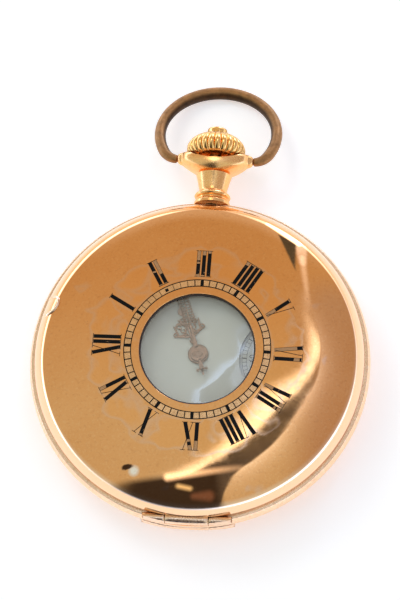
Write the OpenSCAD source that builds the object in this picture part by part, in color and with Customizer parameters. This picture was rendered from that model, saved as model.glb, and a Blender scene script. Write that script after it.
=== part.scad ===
// Half-hunter pocket watch, lying on its back: dial up (+Z), pendant towards +Y, twelve towards -X.
// The origin is the middle of the flat field of the back cover. Millimetres.

/* [Case] */
// Radius of the case band at its widest
case_r = 25; // [24:0.1:27]
// Height of the middle of the band, and of the stem, above the back
stem_z = 6; // [5.95:0.05:6.3]
// Height of the middle of the front cover above the middle of the band
front_rise = 6.2; // [6.1:0.05:6.6]
// Height of the band between the two covers
band_h = 2.4; // [2.2:0.05:2.6]
// Thickness of the cover sheets
sheet_t = 0.5; // [0.35:0.05:0.55]
// Height of the rolled lip of each cover
lip_h = 0.65; // [0.5:0.05:0.8]
// How far the lips stand back from the widest part of the band
lip_inset = 0.9; // [0.8:0.05:1.1]
// Radius of the tight bend at the edge of the covers
edge_bend = 4.2; // [3.8:0.1:4.6]
// Depth that the dome of the back cover is cut flat
back_flat = 0.2; // [0.1:0.05:0.3]
// Gap between a closed cover and the band
seam = 0.1; // [0.05:0.01:0.15]

/* [Front window] */
// Radius of the window in the front cover
window_r = 8.44; // [7.5:0.1:9]
// Thickness of the window glass
window_glass_t = 0.45; // [0.3:0.05:0.5]
// How far the glass reaches under the window edge
window_lap = 0.8; // [0.5:0.1:1.2]

/* [Hinges] */
// Radius of the hinge barrels
knuckle_r = 0.75; // [0.65:0.05:0.8]
// Radius of the hinge pins
hinge_pin_r = 0.3; // [0.25:0.05:0.4]
// Length of the middle knuckle of the cover hinges
knuckle_mid = 6.2; // [5:0.1:8]
// Length of each outer knuckle of the front hinge
knuckle_side = 3.2; // [2.5:0.1:4]
// Length of each outer knuckle of the back hinge
back_knuckle_side = 3.6; // [2.5:0.1:4]
// Running clearance of hinges and pivots
play = 0.03; // [0.02:0.01:0.05]

/* [Pendant, crown and bow] */
// Radius of the pendant neck
neck_r = 2.2; // [2:0.05:2.4]
// Length of the pendant, from the band to the bow pivot
pendant_l = 7.15; // [7:0.05:8]
// Half the span of the pendant arms
arm_span = 5.85; // [5.7:0.05:5.9]
// Radius of the tips of the pendant arms
arm_tip_r = 0.95; // [0.85:0.05:1.05]
// Radius of the middle line of the bow
bow_r = 8.85; // [8.5:0.05:9.5]
// Radius of the bow wire at its ends
bow_wire_end = 0.76; // [0.7:0.02:0.85]
// Radius of the bow wire at its middle
bow_wire_mid = 0.95; // [0.85:0.05:1.05]
// Radius of the crown at its widest
crown_r = 4.45; // [4.2:0.05:4.6]
// Height of the fluted part of the crown
crown_h = 4.35; // [4:0.05:4.6]
// Number of flutes on the crown
crown_flutes = 26; // [20:1:28]
// Depth of the crown flutes
flute_depth = 0.34; // [0.2:0.02:0.4]

/* [Crystal, dial and hands] */
// How far the edge of the dial stands back from that of the main plate
dial_inset = 0.5; // [0.4:0.05:1.3]
// Thickness of the dial
dial_t = 0.5; // [0.4:0.05:0.6]
// Distance from the dial middle to the seconds dial
seconds_x = 12.2; // [12:0.1:12.4]
// Radius of the seconds dial
seconds_r = 6.33; // [5.8:0.1:6.5]
// Thickness of the dial crystal
crystal_t = 0.35; // [0.3:0.05:0.45]
// Rise of the dial crystal at its middle
crystal_rise = 0.9; // [0.8:0.05:1]
// Length of the hour hand
hour_l = 9.6; // [8:0.1:11]
// Length of the minute hand
minute_l = 16.4; // [14:0.1:18]
// Length of the seconds hand
second_l = 4.9; // [4:0.1:5.4]
// Thickness of the hands
hand_t = 0.14; // [0.1:0.02:0.16]

/* [Movement] */
// How far the edge of the main plate stands back from the widest part of the band
plate_inset = 4.2; // [4.1:0.05:4.4]
// Thickness of the main plate
plate_t = 1.8; // [1.7:0.05:1.8]
// Thickness of the bridges
bridge_t = 1.3; // [1.2:0.05:1.4]
// Free height between the main plate and the bridges
pillar_h = 2.05; // [2.05:0.01:2.1]
// Thickness of the train wheels
wheel_t = 0.25; // [0.2:0.01:0.26]
// Radius of the arbor pivots
pivot_r = 0.14; // [0.1:0.01:0.16]
// Radius of the jewels
jewel_r = 0.8; // [0.7:0.05:0.9]
// Radius of the balance rim
balance_r = 7.3; // [7:0.1:7.4]

/* [Hidden] */
$fn = 96;

// Colours
GOLD = [0.83, 0.58, 0.33];
ROSE = [0.86, 0.60, 0.42];
BRASS = [0.80, 0.66, 0.36];
GILT = [0.85, 0.72, 0.42];
STEEL = [0.62, 0.64, 0.68];
BLUED = [0.15, 0.20, 0.42];
RUBY = [0.72, 0.10, 0.22];
ENAMEL = [0.93, 0.92, 0.88];
GLASS = [0.85, 0.90, 0.92, 0.35];
OLD_BRASS = [0.48, 0.36, 0.22];

// Levels of the case
band_top = stem_z + band_h / 2;
band_bottom = stem_z - band_h / 2;
front_z = stem_z + front_rise;
lip_r = case_r - lip_inset;
front_lip_z = band_top + seam + lip_h;
back_lip_z = band_bottom - seam - lip_h;
bulge = 0.4;
bow_pivot_y = case_r + pendant_l;
wall_t = 1.1;
web_t = 0.6;
glass_seat_z = front_z - sheet_t - 0.05;

// Arcs of a cover, seen in section: a wide dome, a shoulder and a tight edge bend, each tangent to the next
edge_end = 75;
shoulder_end = 22;
dome_end = 3.5;
function edge_centre(lip_level) = [lip_r - edge_bend * sin(edge_end), lip_level - edge_bend * cos(edge_end)];
// Radii of the dome and the shoulder that meet the edge bend and reach the given top
function shoulder_radius(lip_level, top) =
    let (p = edge_centre(lip_level) + edge_bend * [sin(shoulder_end), cos(shoulder_end)],
        s1 = sin(dome_end), c1 = cos(dome_end), s2 = sin(shoulder_end), c2 = cos(shoulder_end),
        k = (1 - c1) / s1)
    (top - p[1] - k * p[0]) / ((1 - c2) - k * s2);
function dome_radius(lip_level, top) =
    let (p = edge_centre(lip_level) + edge_bend * [sin(shoulder_end), cos(shoulder_end)],
        r2 = shoulder_radius(lip_level, top))
    r2 + (p[0] - r2 * sin(shoulder_end)) / sin(dome_end);

// Inside of the case
movement_play = 0.15;
plate_r = case_r - plate_inset;
dial_r = plate_r - dial_inset;
seat_r = plate_r + movement_play;
plate_z = stem_z;
plate_top = plate_z + plate_t;
flange_t = 0.6;
flange_r = seat_r + 0.4;
flange_z = plate_top - flange_t;
back_seat_r = seat_r + 1.05;
bridge_top = plate_z - pillar_h;
bridge_z = bridge_top - bridge_t;
winding_wheel_t = 0.5;
winding_wheel_z = bridge_z - 0.05 - winding_wheel_t;
collar_r = lip_r - sheet_t - 0.25;
collar_t = 0.5;
collar_h = 0.75;
motion_gap = 0.75;
dial_z = plate_top + motion_gap;
dial_top = dial_z + dial_t;
seconds_dial_t = 0.28;
bezel_top = dial_top + 0.65;
crystal_r = flange_r - 0.08;

// Hinge axes, towards -Y
hinge_y = -(case_r - 0.7);
front_hinge_z = band_top + seam / 2;
back_hinge_z = band_bottom - seam / 2;
hinge_gap = 0.1;
hinge_clear = 0.2;

// Cuvette, between the back cover and the movement
cuvette_t = 0.4;
cuvette_z = 1.2;
cuvette_bend = 4.4;
cuvette_rim_r = collar_r - 1.1;
cuvette_rim_top = band_bottom - 0.05;
cuvette_hinge_y = -(cuvette_rim_r - 0.1);
cuvette_hinge_z = band_bottom - 0.95;
cuvette_knuckle_r = 0.5;
cuvette_pin_r = 0.22;
cuvette_knuckle = 3;

// Springs of the case, in the channel of the band
spring_t = 0.35;
spring_h = 0.9;
spring_r = case_r - wall_t - 0.6;
spring_z = stem_z - spring_h / 2;
lock_foot = 145;
nose_end = 93;
lift_foot = 200;
lift_end = 250;
spring_screw_angles = [lock_foot, lift_foot];
spring_screw_r = 0.35;
spring_screw_end = case_r - 0.6;
nose_x0 = -2.6;
nose_w = 1.4;
nose_r = collar_r + 0.05;
nose_t = 0.35;
nose_travel = 0.25;

// Places of the arbors, seen from the front
function polar(r, a) = [r * cos(a), r * sin(a)];
function bearing(a, b) = atan2(b[1] - a[1], b[0] - a[0]);
// Third corner of a triangle on a and b, at distances ra and rb, to the left of the line from a to b
function corner(a, b, ra, rb) =
    let (d = norm(b - a), u = (b - a) / d, along = (ra * ra - rb * rb + d * d) / (2 * d))
    a + along * u + sqrt(ra * ra - along * along) * [-u[1], u[0]];

// Teeth: [wheel, pinion, module]
barrel_mesh = [72, 12, 0.24];
centre_mesh = [80, 10, 0.19];
third_mesh = [75, 10, 0.17];
fourth_mesh = [80, 8, 0.14];
winding_mesh = [54, 36, 0.246];
minute_mesh = [36, 12, 10 / 48];
hour_mesh = [40, 10, 0.2];
setting_mesh = [36, 24, 10 / 48];
function centres(mesh) = (mesh[0] + mesh[1]) / 2 * mesh[2];

centre_p = [0, 0];
fourth_p = [seconds_x, 0];
third_p = corner(centre_p, fourth_p, centres(centre_mesh), centres(third_mesh));
barrel_p = polar(centres(barrel_mesh), 145);
crown_wheel_p = [0, barrel_p[1] + sqrt(pow(centres(winding_mesh), 2) - pow(barrel_p[0], 2))];
escape_p = fourth_p + polar(centres(fourth_mesh), -120);
balance_p = [1.5, -12];
pallet_reach = 4.3;
pallet_p = escape_p + polar(pallet_reach, bearing(escape_p, balance_p));
escape_r = 3.6;
escape_teeth = 15;

// Levels of the train, from the bridges up to the dial
centre_wheel_z = bridge_top + 0.2;
fourth_wheel_z = bridge_top + 0.75;
third_wheel_z = bridge_top + 1.45;
barrel_z = centre_wheel_z + wheel_t + 0.25;
barrel_h = 2.35;
barrel_wall = 0.5;
barrel_r = 8.1;
barrel_tooth_t = 0.5;
barrel_recess_top = barrel_z + barrel_h + 0.15;
barrel_tooth_z = barrel_z + barrel_h - barrel_tooth_t - 0.1;
escape_z = plate_z + 0.05;
fork_z = escape_z + wheel_t + 0.05;
fork_t = 0.25;
escapement_top = fork_z + fork_t + 0.15;
pallet_bridge_t = 0.5;
pallet_bridge_z = plate_z - pallet_bridge_t;
balance_h = 0.7;
balance_z = pallet_bridge_z - 0.15 - balance_h;
hairspring_t = 0.2;
hairspring_z = balance_z - 0.3 - hairspring_t;
cock_t = 1.0;
cock_top = hairspring_z - 0.45;
cock_z = cock_top - cock_t;

// Winding work on the stem; the face teeth of the crown wheel stand on a ring that meets the pinion
winding_pinion_teeth = 12;
pinion_m = 0.25;
pinion_tip_r = pinion_m * (winding_pinion_teeth / 2 + 0.8);
pinion_l = 1.4;
crown_face_teeth = 30;
crown_face_r = pinion_m * crown_face_teeth / 2;
crown_face_w = 0.6;
face_depth = 0.45;
face_top = stem_z - pinion_tip_r + 0.25;
face_tooth_w = 0.22;
crown_core_r = 1.25;
crown_wheel_room = 5.6;
winding_pinion_y = crown_wheel_p[1] + crown_face_r;
clutch_r = 1.6;
clutch_l = 3;
clutch_y = winding_pinion_y - pinion_l / 2 - clutch_l;
crown_press = 0.5;
crown_pull = 1.2;
stem_r = 0.65;
stem_square = 0.85;
journal_r = 0.4;
square_y0 = clutch_y + crown_press + 0.1;
square_y1 = winding_pinion_y + pinion_l / 2 + crown_press + 0.15;
stem_inner_y = clutch_y - 1.3;
stem_outer_y = case_r + 3.6;
shaft_r = 0.95;
shaft_inner_y = case_r - 0.8;
sleeve_r = 1.5;
crown_y = bow_pivot_y + 0.05;
crown_foot_r = 2.3;
crown_cap_r = 1.75;
crown_cap_h = 0.65;
bow_pin_r = 0.38;

// Setting wheel just inside the sliding pinion, and the minute wheel between it and the centre
setting_p = [0, clutch_y - 0.15 - setting_mesh[2] * (setting_mesh[1] / 2 + 1.1)];
minute_p = corner(centre_p, setting_p, centres(minute_mesh), centres(setting_mesh));

// Fixing of the movement
foot_r = 1.7;
bridge_r = plate_r - 0.5;
bridge_gap = 0.25;
bridge_screw_r = 0.45;
bridge_screw_head = 1.1;
foot_circle = bridge_r - 1.9;
barrel_screws = [[-foot_circle, 0], [-4.2, 18.2], [3.6, 18.2]];
train_screws = [polar(foot_circle, 22), polar(foot_circle, -26.5), [8.6, 16.2]];
cock_screw = polar(foot_circle, 222);
cock_foot_r = 2.4;
case_screw_head = 1.3;
case_screws_at = [polar(plate_r - 0.9, 208), polar(plate_r - 0.9, 321)];
pallet_bridge_l = 3.9;
pallet_screw_r = 0.3;
pallet_screws = [for (s = [-90, 90]) pallet_p + polar(pallet_bridge_l, bearing(escape_p, balance_p) + s)];
jewel_t = 0.5;
barrel_pivot_r = 1;
barrel_square = 1.3;
barrel_core_r = 2.4;
barrel_cover_t = 0.3;
centre_pivot_r = 0.45;
centre_post_r = 0.3;
seconds_post_r = 0.2;
fork_l = 4.9;
hairspring_r = 4.2;
click_p = barrel_p + polar(9.35, 215);
click_post_r = 0.45;
click_arm = 3.4;
click_turn = 75;
click_spring_p = click_p + polar(1.9, click_turn + 170);

// Motion work and hands
minute_wheel_z = plate_top + 0.06;
minute_wheel_t = 0.22;
hour_wheel_z = plate_top + 0.42;
hour_wheel_t = 0.22;
setting_z = plate_top - 0.25;
pipe_r = 1;
cannon_r = 0.6;
post_r = 0.3;
hour_hub_r = 1.46;
hour_hand_z = dial_top + 0.15;
minute_hand_z = hour_hand_z + hand_t + 0.16;
cannon_top = minute_hand_z + hand_t + 0.12;
seconds_hand_z = dial_z + 0.3;
hour_angle = 66;
minute_angle = 72;
second_angle = 200;
// A clock angle, clockwise from twelve at -X, as an angle from +X
function clock(a) = 180 - a;

// Bow at rest, lying on the table
bow_centre = 5.48;
bow_drop = asin((stem_z - bow_wire_mid) / (bow_centre + bow_r));
bow_pin_x = sqrt(bow_r * bow_r - bow_centre * bow_centre);

// Helpers
function arc(c, r, a0, a1, n) = [for (i = [0 : n]) c + polar(r, a0 + (a1 - a0) * i / n)];
// Part of a circle in section, by the angle of its normal from the vertical, without its first point
function bend(c, r, t0, t1, n) = [for (i = [1 : n]) let (t = t0 + (t1 - t0) * i / n) c + r * [sin(t), cos(t)]];
function backwards(list) = [for (i = [len(list) - 1 : -1 : 0]) list[i]];
// Angle of the driven wheel that puts its gap on the tooth of the driver
function mate(line, n_from, turn, n_to) = line + 180 - 180 / n_to + (line - turn) * n_from / n_to;

module at(p, z = 0) {
    translate([p[0], p[1], z])
        children();
}

// Cylinder along Z between two levels
module post(p, z0, z1, r) {
    at(p, z0)
        cylinder(r = r, h = z1 - z0);
}

// Plain tube round the case axis
module tube(r0, r1, z0, z1) {
    translate([0, 0, z0])
        difference() {
            cylinder(r = r1, h = z1 - z0);
            translate([0, 0, -1])
                cylinder(r = r0, h = z1 - z0 + 2);
        }
}

// Cylinder along the stem
module rod(y0, y1, r) {
    translate([0, y0, stem_z])
        rotate([-90, 0, 0])
            cylinder(r = r, h = y1 - y0);
}

// Cylinder across the watch, along X
module bar(x0, x1, y, z, r) {
    translate([x0, y, z])
        rotate([0, 90, 0])
            cylinder(r = r, h = x1 - x0);
}

// The same on both sides
module both_sides() {
    children();
    mirror([1, 0, 0])
        children();
}

// Straight-flanked teeth; widths are shares of the pitch
function tooth_points(n, m, root_w, tip_w, add, ded) =
    [for (i = [0 : n - 1]) for (p = [[-root_w, -ded], [-tip_w, add], [tip_w, add], [root_w, -ded]])
        polar(m * (n / 2 + p[1]), (i + p[0] / 2) * 360 / n)];

module wheel_teeth(n, m) {
    polygon(tooth_points(n, m, 0.60, 0.15, 1.1, 1.35));
}

module leaves(n, m) {
    polygon(tooth_points(n, m, 0.38, 0.26, 0.75, 1.5));
}

// Spoked train wheel
module wheel(p, z, t, n, m, turn, spokes, hole) {
    r = m * (n / 2 - 1.35) - 0.45;
    hub = hole + 0.55;
    at(p, z)
        rotate(turn)
            linear_extrude(t)
                difference() {
                    wheel_teeth(n, m);
                    difference() {
                        circle(r);
                        circle(hub);
                        for (i = [0 : spokes - 1])
                            rotate(i * 360 / spokes)
                                translate([0, -0.28])
                                    square([r + 0.1, 0.56]);
                    }
                    circle(hole);
                }
}

// Leaves of a pinion between two levels
module pinion(p, z0, z1, n, m, turn) {
    at(p, z0)
        rotate(turn)
            linear_extrude(z1 - z0)
                leaves(n, m);
}

// Flat spiral strip
module spiral(p, z, h, r0, r1, turns, strip, turn) {
    steps = 20 * turns;
    function edge(d) = [for (i = [0 : steps]) polar(r0 + (r1 - r0) * i / steps + d, turn + 18 * i)];
    at(p, z)
        linear_extrude(h)
            polygon(concat(edge(-strip / 2), backwards(edge(strip / 2))));
}

// Slotted screw with its head down, towards the back
module screw(p, z_head, z_end, head_r, head_h, shank_r) {
    at(p, z_head)
        difference() {
            union() {
                cylinder(r = head_r, h = head_h);
                cylinder(r = shank_r, h = z_end - z_head);
            }
            translate([-head_r - 0.1, -0.1, -0.1])
                cube([2 * head_r + 0.2, 0.2, head_h * 0.4 + 0.1]);
        }
}

// Room for that screw
module screw_room(p, z_head, z_end, head_r, head_h, shank_r) {
    post(p, z_head - 1, z_head + head_h, head_r + 0.05);
    post(p, z_head - 1, z_end, shank_r);
}

// Covers
module cover_solid(lip_level, lip_end, top, hole_r, cut) {
    big = dome_radius(lip_level, top);
    mid = shoulder_radius(lip_level, top);
    c1 = [0, top - big];
    c2 = c1 + (big - mid) * [sin(dome_end), cos(dome_end)];
    c3 = edge_centre(lip_level);
    flat_r = sqrt(big * big - pow(big - cut, 2));
    out0 = asin(max(hole_r, flat_r) / big);
    in0 = asin(hole_r / (big - sheet_t));
    outside = concat([c1 + big * [sin(out0), cos(out0)]], bend(c1, big, out0, dome_end, 5),
        bend(c2, mid, dome_end, shoulder_end, 6), bend(c3, edge_bend, shoulder_end, edge_end, 12));
    inside = concat([c1 + (big - sheet_t) * [sin(in0), cos(in0)]], bend(c1, big - sheet_t, in0, dome_end, 5),
        bend(c2, mid - sheet_t, dome_end, shoulder_end, 6),
        bend(c3, edge_bend - sheet_t, shoulder_end, edge_end, 12));
    rotate_extrude()
        polygon(concat(cut > 0 ? [[0, top - cut]] : [], outside, [[lip_r, lip_end], [lip_r - sheet_t, lip_end]],
            backwards(inside)));
}

// Front cover, with its round window and its hinge knuckle
module front_cover() {
    color(GOLD)
        difference() {
            union() {
                cover_solid(front_lip_z, band_top + seam, front_z, window_r, 0);
                bar(-knuckle_mid / 2, knuckle_mid / 2, hinge_y, front_hinge_z, knuckle_r);
            }
            post([0, 0], front_z - 3, glass_seat_z, window_r + window_lap + 0.02);
            both_sides()
                bar(knuckle_mid / 2, knuckle_mid / 2 + knuckle_side + 2 * hinge_gap, hinge_y, front_hinge_z,
                    knuckle_r + hinge_clear);
            bar(-knuckle_mid / 2 - 1, knuckle_mid / 2 + 1, hinge_y, front_hinge_z, hinge_pin_r + play);
        }
}

module back_cover() {
    color(GOLD)
        difference() {
            union() {
                mirror([0, 0, 1])
                    cover_solid(-back_lip_z, -(band_bottom - seam), back_flat, 0, back_flat);
                bar(-knuckle_mid / 2, knuckle_mid / 2, hinge_y, back_hinge_z, knuckle_r);
            }
            both_sides()
                bar(knuckle_mid / 2, knuckle_mid / 2 + back_knuckle_side + 2 * hinge_gap, hinge_y, back_hinge_z,
                    knuckle_r + hinge_clear);
            bar(-knuckle_mid / 2 - 1, knuckle_mid / 2 + 1, hinge_y, back_hinge_z, hinge_pin_r + play);
        }
}

module window_glass() {
    rise = 0.3;
    r = window_r - 0.05;
    round_r = (r * r + rise * rise) / 2 / rise;
    color(GLASS)
        rotate_extrude()
            polygon(concat([[0, glass_seat_z - window_glass_t], [window_r + window_lap, glass_seat_z - window_glass_t],
                [window_r + window_lap, glass_seat_z], [r, glass_seat_z]],
                bend([0, glass_seat_z + rise - round_r], round_r, asin(r / round_r), 0, 6)));
}

// Ring inside the cover that holds the window glass
module window_glass_ring() {
    r0 = window_r + window_lap;
    z0 = glass_seat_z - window_glass_t;
    color(GOLD)
        rotate_extrude()
            polygon([[r0 - 0.4, z0 - 0.2], [r0 + 0.7, z0 - 0.2], [r0 + 0.7, glass_seat_z - 0.14],
                [r0 + 0.03, glass_seat_z - 0.14], [r0 + 0.03, z0], [r0 - 0.4, z0]]);
}

// Section of the band; its outer face alone bounds what is soldered to it
function band_bulge() =
    let (h = band_h / 2, r = (h * h + bulge * bulge) / 2 / bulge, a = asin(h / r))
    arc([case_r - r, stem_z], r, -a, a, 6);

// Case band: wall, front and back webs, and the two collars that the lids close over
module case_band() {
    wall_r = case_r - wall_t;
    collar_in = collar_r - collar_t;
    color(GOLD) {
        both_sides() {
            side_knuckle(front_hinge_z, knuckle_side, -1);
            side_knuckle(back_hinge_z, back_knuckle_side, 1);
        }
        difference() {
            union() {
                rotate_extrude()
                    polygon(concat([[seat_r, band_top], [seat_r, band_top - web_t], [wall_r, band_top - web_t],
                        [wall_r, band_bottom + web_t], [back_seat_r, band_bottom + web_t],
                        [back_seat_r, band_bottom], [collar_in, band_bottom], [collar_in, band_bottom - collar_h],
                        [collar_r, band_bottom - collar_h], [collar_r, band_bottom]], band_bulge(),
                        [[collar_r, band_top], [collar_r, band_top + collar_h], [collar_in, band_top + collar_h],
                        [collar_in, band_top]]));
                both_sides()
                    cuvette_side_knuckle();
            }
            bar(-1.5 * cuvette_knuckle - 0.3, 1.5 * cuvette_knuckle + 0.3, cuvette_hinge_y, cuvette_hinge_z,
                cuvette_pin_r);
            rotate(90)
                translate([wall_r - 3.5, 0, stem_z])
                    rotate([0, 90, 0])
                        cylinder(r = shaft_r + 0.05, h = 6);
            nose_slot();
            lift_slot();
            for (a = spring_screw_angles)
                rotate(a)
                    translate([wall_r - 1, 0, stem_z])
                        rotate([0, 90, 0])
                            cylinder(r = spring_screw_r, h = spring_screw_end - wall_r + 1);
            hinge_seat(front_hinge_z, knuckle_side, 1);
            hinge_seat(back_hinge_z, back_knuckle_side, -1);
        }
    }
}

// Flat seat cut in the band for a cover hinge; way is 1 in front and -1 at the back
module hinge_seat(z, side, way) {
    half = knuckle_mid / 2 + side + 2 * hinge_gap;
    depth = knuckle_r + hinge_gap;
    translate([-half, -case_r - 1, way > 0 ? z - depth : z + depth - 3])
        cube([2 * half, case_r + 1 + hinge_y + depth, 3]);
}

// Outer knuckle of a cover hinge, on a foot that stands on its seat
module side_knuckle(z, side, way) {
    x0 = knuckle_mid / 2 + hinge_gap;
    foot = knuckle_r + hinge_gap + 0.2;
    difference() {
        union() {
            bar(x0, x0 + side, hinge_y, z, knuckle_r);
            translate([x0, hinge_y - 0.25, way < 0 ? z - foot : z])
                cube([side, 0.8, foot]);
        }
        bar(0, case_r, hinge_y, z, hinge_pin_r);
    }
}

// Knuckle of the cuvette hinge on the band, with the bracket that carries it
module cuvette_side_knuckle() {
    x0 = cuvette_knuckle / 2 + hinge_gap;
    bar(x0, x0 + cuvette_knuckle, cuvette_hinge_y, cuvette_hinge_z, cuvette_knuckle_r);
    translate([x0, -(collar_r - collar_t / 2), cuvette_hinge_z])
        cube([cuvette_knuckle, collar_r - collar_t / 2 + cuvette_hinge_y, band_bottom + web_t / 2 - cuvette_hinge_z]);
}

// Pins of the three hinges, pressed into the knuckles of the band
module hinge_pins() {
    front_half = knuckle_mid / 2 + hinge_gap + knuckle_side;
    back_half = knuckle_mid / 2 + hinge_gap + back_knuckle_side;
    cuvette_half = cuvette_knuckle * 1.5 + hinge_gap;
    color(BRASS) {
        bar(-front_half, front_half, hinge_y, front_hinge_z, hinge_pin_r);
        bar(-back_half, back_half, hinge_y, back_hinge_z, hinge_pin_r);
        bar(-cuvette_half, cuvette_half, cuvette_hinge_y, cuvette_hinge_z, cuvette_pin_r);
    }
}

// Inner dust cover
module cuvette() {
    c = [cuvette_rim_r - cuvette_bend, cuvette_z + cuvette_bend];
    a_end = acos((c[1] - cuvette_rim_top) / cuvette_bend);
    outside = [for (i = [0 : 10]) c + cuvette_bend * [sin(a_end * i / 10), -cos(a_end * i / 10)]];
    in_r = cuvette_bend - cuvette_t;
    b_end = acos((c[1] - cuvette_rim_top) / in_r);
    inside = [for (i = [0 : 10]) c + in_r * [sin(b_end * i / 10), -cos(b_end * i / 10)]];
    color(GILT)
        difference() {
            union() {
                rotate_extrude()
                    polygon(concat([[0, cuvette_z]], outside, backwards(inside), [[0, cuvette_z + cuvette_t]]));
                bar(-cuvette_knuckle / 2, cuvette_knuckle / 2, cuvette_hinge_y, cuvette_hinge_z,
                    cuvette_knuckle_r);
            }
            both_sides()
                bar(cuvette_knuckle / 2, 1.5 * cuvette_knuckle + 2 * hinge_gap, cuvette_hinge_y, cuvette_hinge_z,
                    cuvette_knuckle_r + hinge_clear);
            bar(-cuvette_knuckle, cuvette_knuckle, cuvette_hinge_y, cuvette_hinge_z, cuvette_pin_r + play);
        }
}

// Cut-outs for the nose of the lock spring and the tip of the lift spring
module nose_slot() {
    translate([nose_x0 - 0.2, nose_r - nose_t - nose_travel - 0.2, spring_z])
        cube([nose_w + 0.4, nose_t + nose_travel + 0.35, band_h + 1]);
}

module lift_slot() {
    rotate(lift_end)
        translate([spring_r - 0.7, -0.9, stem_z])
            cube([1.05, 1.8, band_h]);
}

// Flat spring bent along the band, between two angles
module band_spring(a0, a1, foot) {
    translate([0, 0, spring_z])
        difference() {
            linear_extrude(spring_h)
                polygon(concat(arc([0, 0], spring_r - spring_t / 2, a0, a1, 30),
                    arc([0, 0], spring_r + spring_t / 2, a1, a0, 30)));
            rotate(foot)
                translate([0, 0, spring_h / 2])
                    rotate([0, 90, 0])
                        cylinder(r = spring_screw_r + 0.08, h = case_r);
        }
}

// Spring whose nose holds the front cover shut until the crown pushes it in
module lock_spring() {
    color(BLUED) {
        band_spring(lock_foot + 4, nose_end, lock_foot);
        difference() {
            translate([nose_x0, nose_r - nose_t, spring_z + spring_h / 2])
                cube([nose_w, nose_t, band_top + collar_h - spring_z - spring_h / 2]);
            translate([nose_x0 - 1, nose_r - 0.12, band_top - 0.1])
                cube([nose_w + 2, 1, collar_h - 0.15]);
        }
    }
}

// Spring that throws the cover open; its tip rests under the cover beside the hinge
module lift_spring() {
    color(BLUED) {
        band_spring(lift_foot - 4, lift_end + 2, lift_foot);
        rotate(lift_end)
            translate([spring_r - spring_t / 2 + 0.02, -0.7, spring_z + spring_h / 2])
                cube([spring_t - 0.08, 1.4, band_top - spring_z - spring_h / 2]);
    }
}

module spring_screws() {
    color(STEEL)
        for (a = spring_screw_angles)
            rotate(a)
                translate([0, 0, stem_z])
                    rotate([0, 90, 0]) {
                        translate([0, 0, spring_r - spring_t / 2 - 0.5])
                            cylinder(r = spring_screw_r * 1.7, h = 0.45);
                        translate([0, 0, spring_r - spring_t / 2 - 0.5])
                            cylinder(r = spring_screw_r, h = spring_screw_end - spring_r + spring_t / 2 + 0.5);
                    }
}

// Pendant: turned neck and a boat-shaped head with two arms for the bow
module pendant() {
    y0 = lip_r + 0.4;
    head_y = bow_pivot_y - 2.8;
    neck = [[y0, 2.75], [case_r + 0.3, 2.7], [case_r + 0.5, 2.25], [case_r + 0.8, neck_r],
        [case_r + 1.1, neck_r + 0.2], [case_r + 1.4, neck_r + 0.3], [case_r + 1.9, neck_r + 0.25],
        [case_r + 2.4, neck_r + 0.1], [case_r + 3.2, neck_r + 0.1], [head_y, neck_r + 0.24]];
    color(GOLD)
        difference() {
            union() {
                translate([0, 0, stem_z])
                    rotate([-90, 0, 0])
                        rotate_extrude()
                            polygon(concat([[0, y0]], [for (p = neck) [p[1], p[0]]], [[0, head_y]]));
                hull() {
                    translate([0, head_y - 0.15, stem_z])
                        rotate([-90, 0, 0])
                            cylinder(r = neck_r, h = 0.3, $fn = 32);
                    translate([0, bow_pivot_y - 0.9, stem_z])
                        rotate([-90, 0, 0])
                            cylinder(r = 3.1, h = 0.45, $fn = 32);
                    both_sides()
                        translate([arm_span - arm_tip_r, bow_pivot_y, stem_z])
                            sphere(r = arm_tip_r, $fn = 32);
                }
            }
            rod(bow_pivot_y - 0.6, bow_pivot_y + 2, crown_r + 0.17);
            rod(case_r + 0.3, bow_pivot_y, sleeve_r);
            rod(y0 - 1, case_r + 0.4, shaft_r + 0.05);
            bar(-case_r, case_r, bow_pivot_y, stem_z, bow_pin_r + play);
            translate([0, 0, band_bottom])
                cylinder(r = case_r - 0.05, h = band_h);
        }
}

// Sleeve in the pendant that guides the crown shaft
module pendant_sleeve() {
    color(STEEL)
        difference() {
            rod(case_r + 0.3, bow_pivot_y - 0.6, sleeve_r);
            rod(case_r - 2, bow_pivot_y, shaft_r + play);
        }
}

// Bow: round wire swept along an open circle, thicker at its middle, its ends rounded
function bow_point(a) = [bow_r * sin(a), bow_centre + bow_r * cos(a), 0];
function bow_wire(a) =
    bow_wire_end + (bow_wire_mid - bow_wire_end) * pow(cos(a / 2), 4);

module bow() {
    sides = 16;
    rings = 60;
    a_end = acos(-(bow_centre + 0.45) / bow_r);
    cap = 4;
    stations = concat([for (i = [cap : -1 : 1]) [-a_end - i * 1.2, sqrt(1 - pow(i / (cap + 0.4), 2))]],
        [for (i = [0 : rings]) [-a_end + 2 * a_end * i / rings, 1]],
        [for (i = [1 : cap]) [a_end + i * 1.2, sqrt(1 - pow(i / (cap + 0.4), 2))]]);
    n = len(stations);
    points = [for (s = stations) for (k = [0 : sides - 1])
        let (a = s[0], r = bow_wire(a) * s[1], q = 360 * k / sides)
        bow_point(a) + r * [sin(a) * cos(q), cos(a) * cos(q), sin(q)]];
    side_faces = [for (i = [0 : n - 2]) for (k = [0 : sides - 1])
        let (a = i * sides + k, b = i * sides + (k + 1) % sides)
        each [[a, b, b + sides], [a, b + sides, a + sides]]];
    color(OLD_BRASS)
        translate([0, bow_pivot_y, stem_z])
            rotate([-bow_drop, 0, 0])
                difference() {
                    polyhedron(points, concat(side_faces, [[for (k = [sides - 1 : -1 : 0]) k]],
                        [[for (k = [0 : sides - 1]) (n - 1) * sides + k]]), convexity = 8);
                    both_sides()
                        bar(0, bow_pin_x, 0, 0, bow_pin_r);
                }
}

// Pivots of the bow, in its two ends
module bow_pivots() {
    color(OLD_BRASS)
        both_sides()
            bar(crown_r + 0.32, bow_pin_x, bow_pivot_y, stem_z, bow_pin_r);
}

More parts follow.
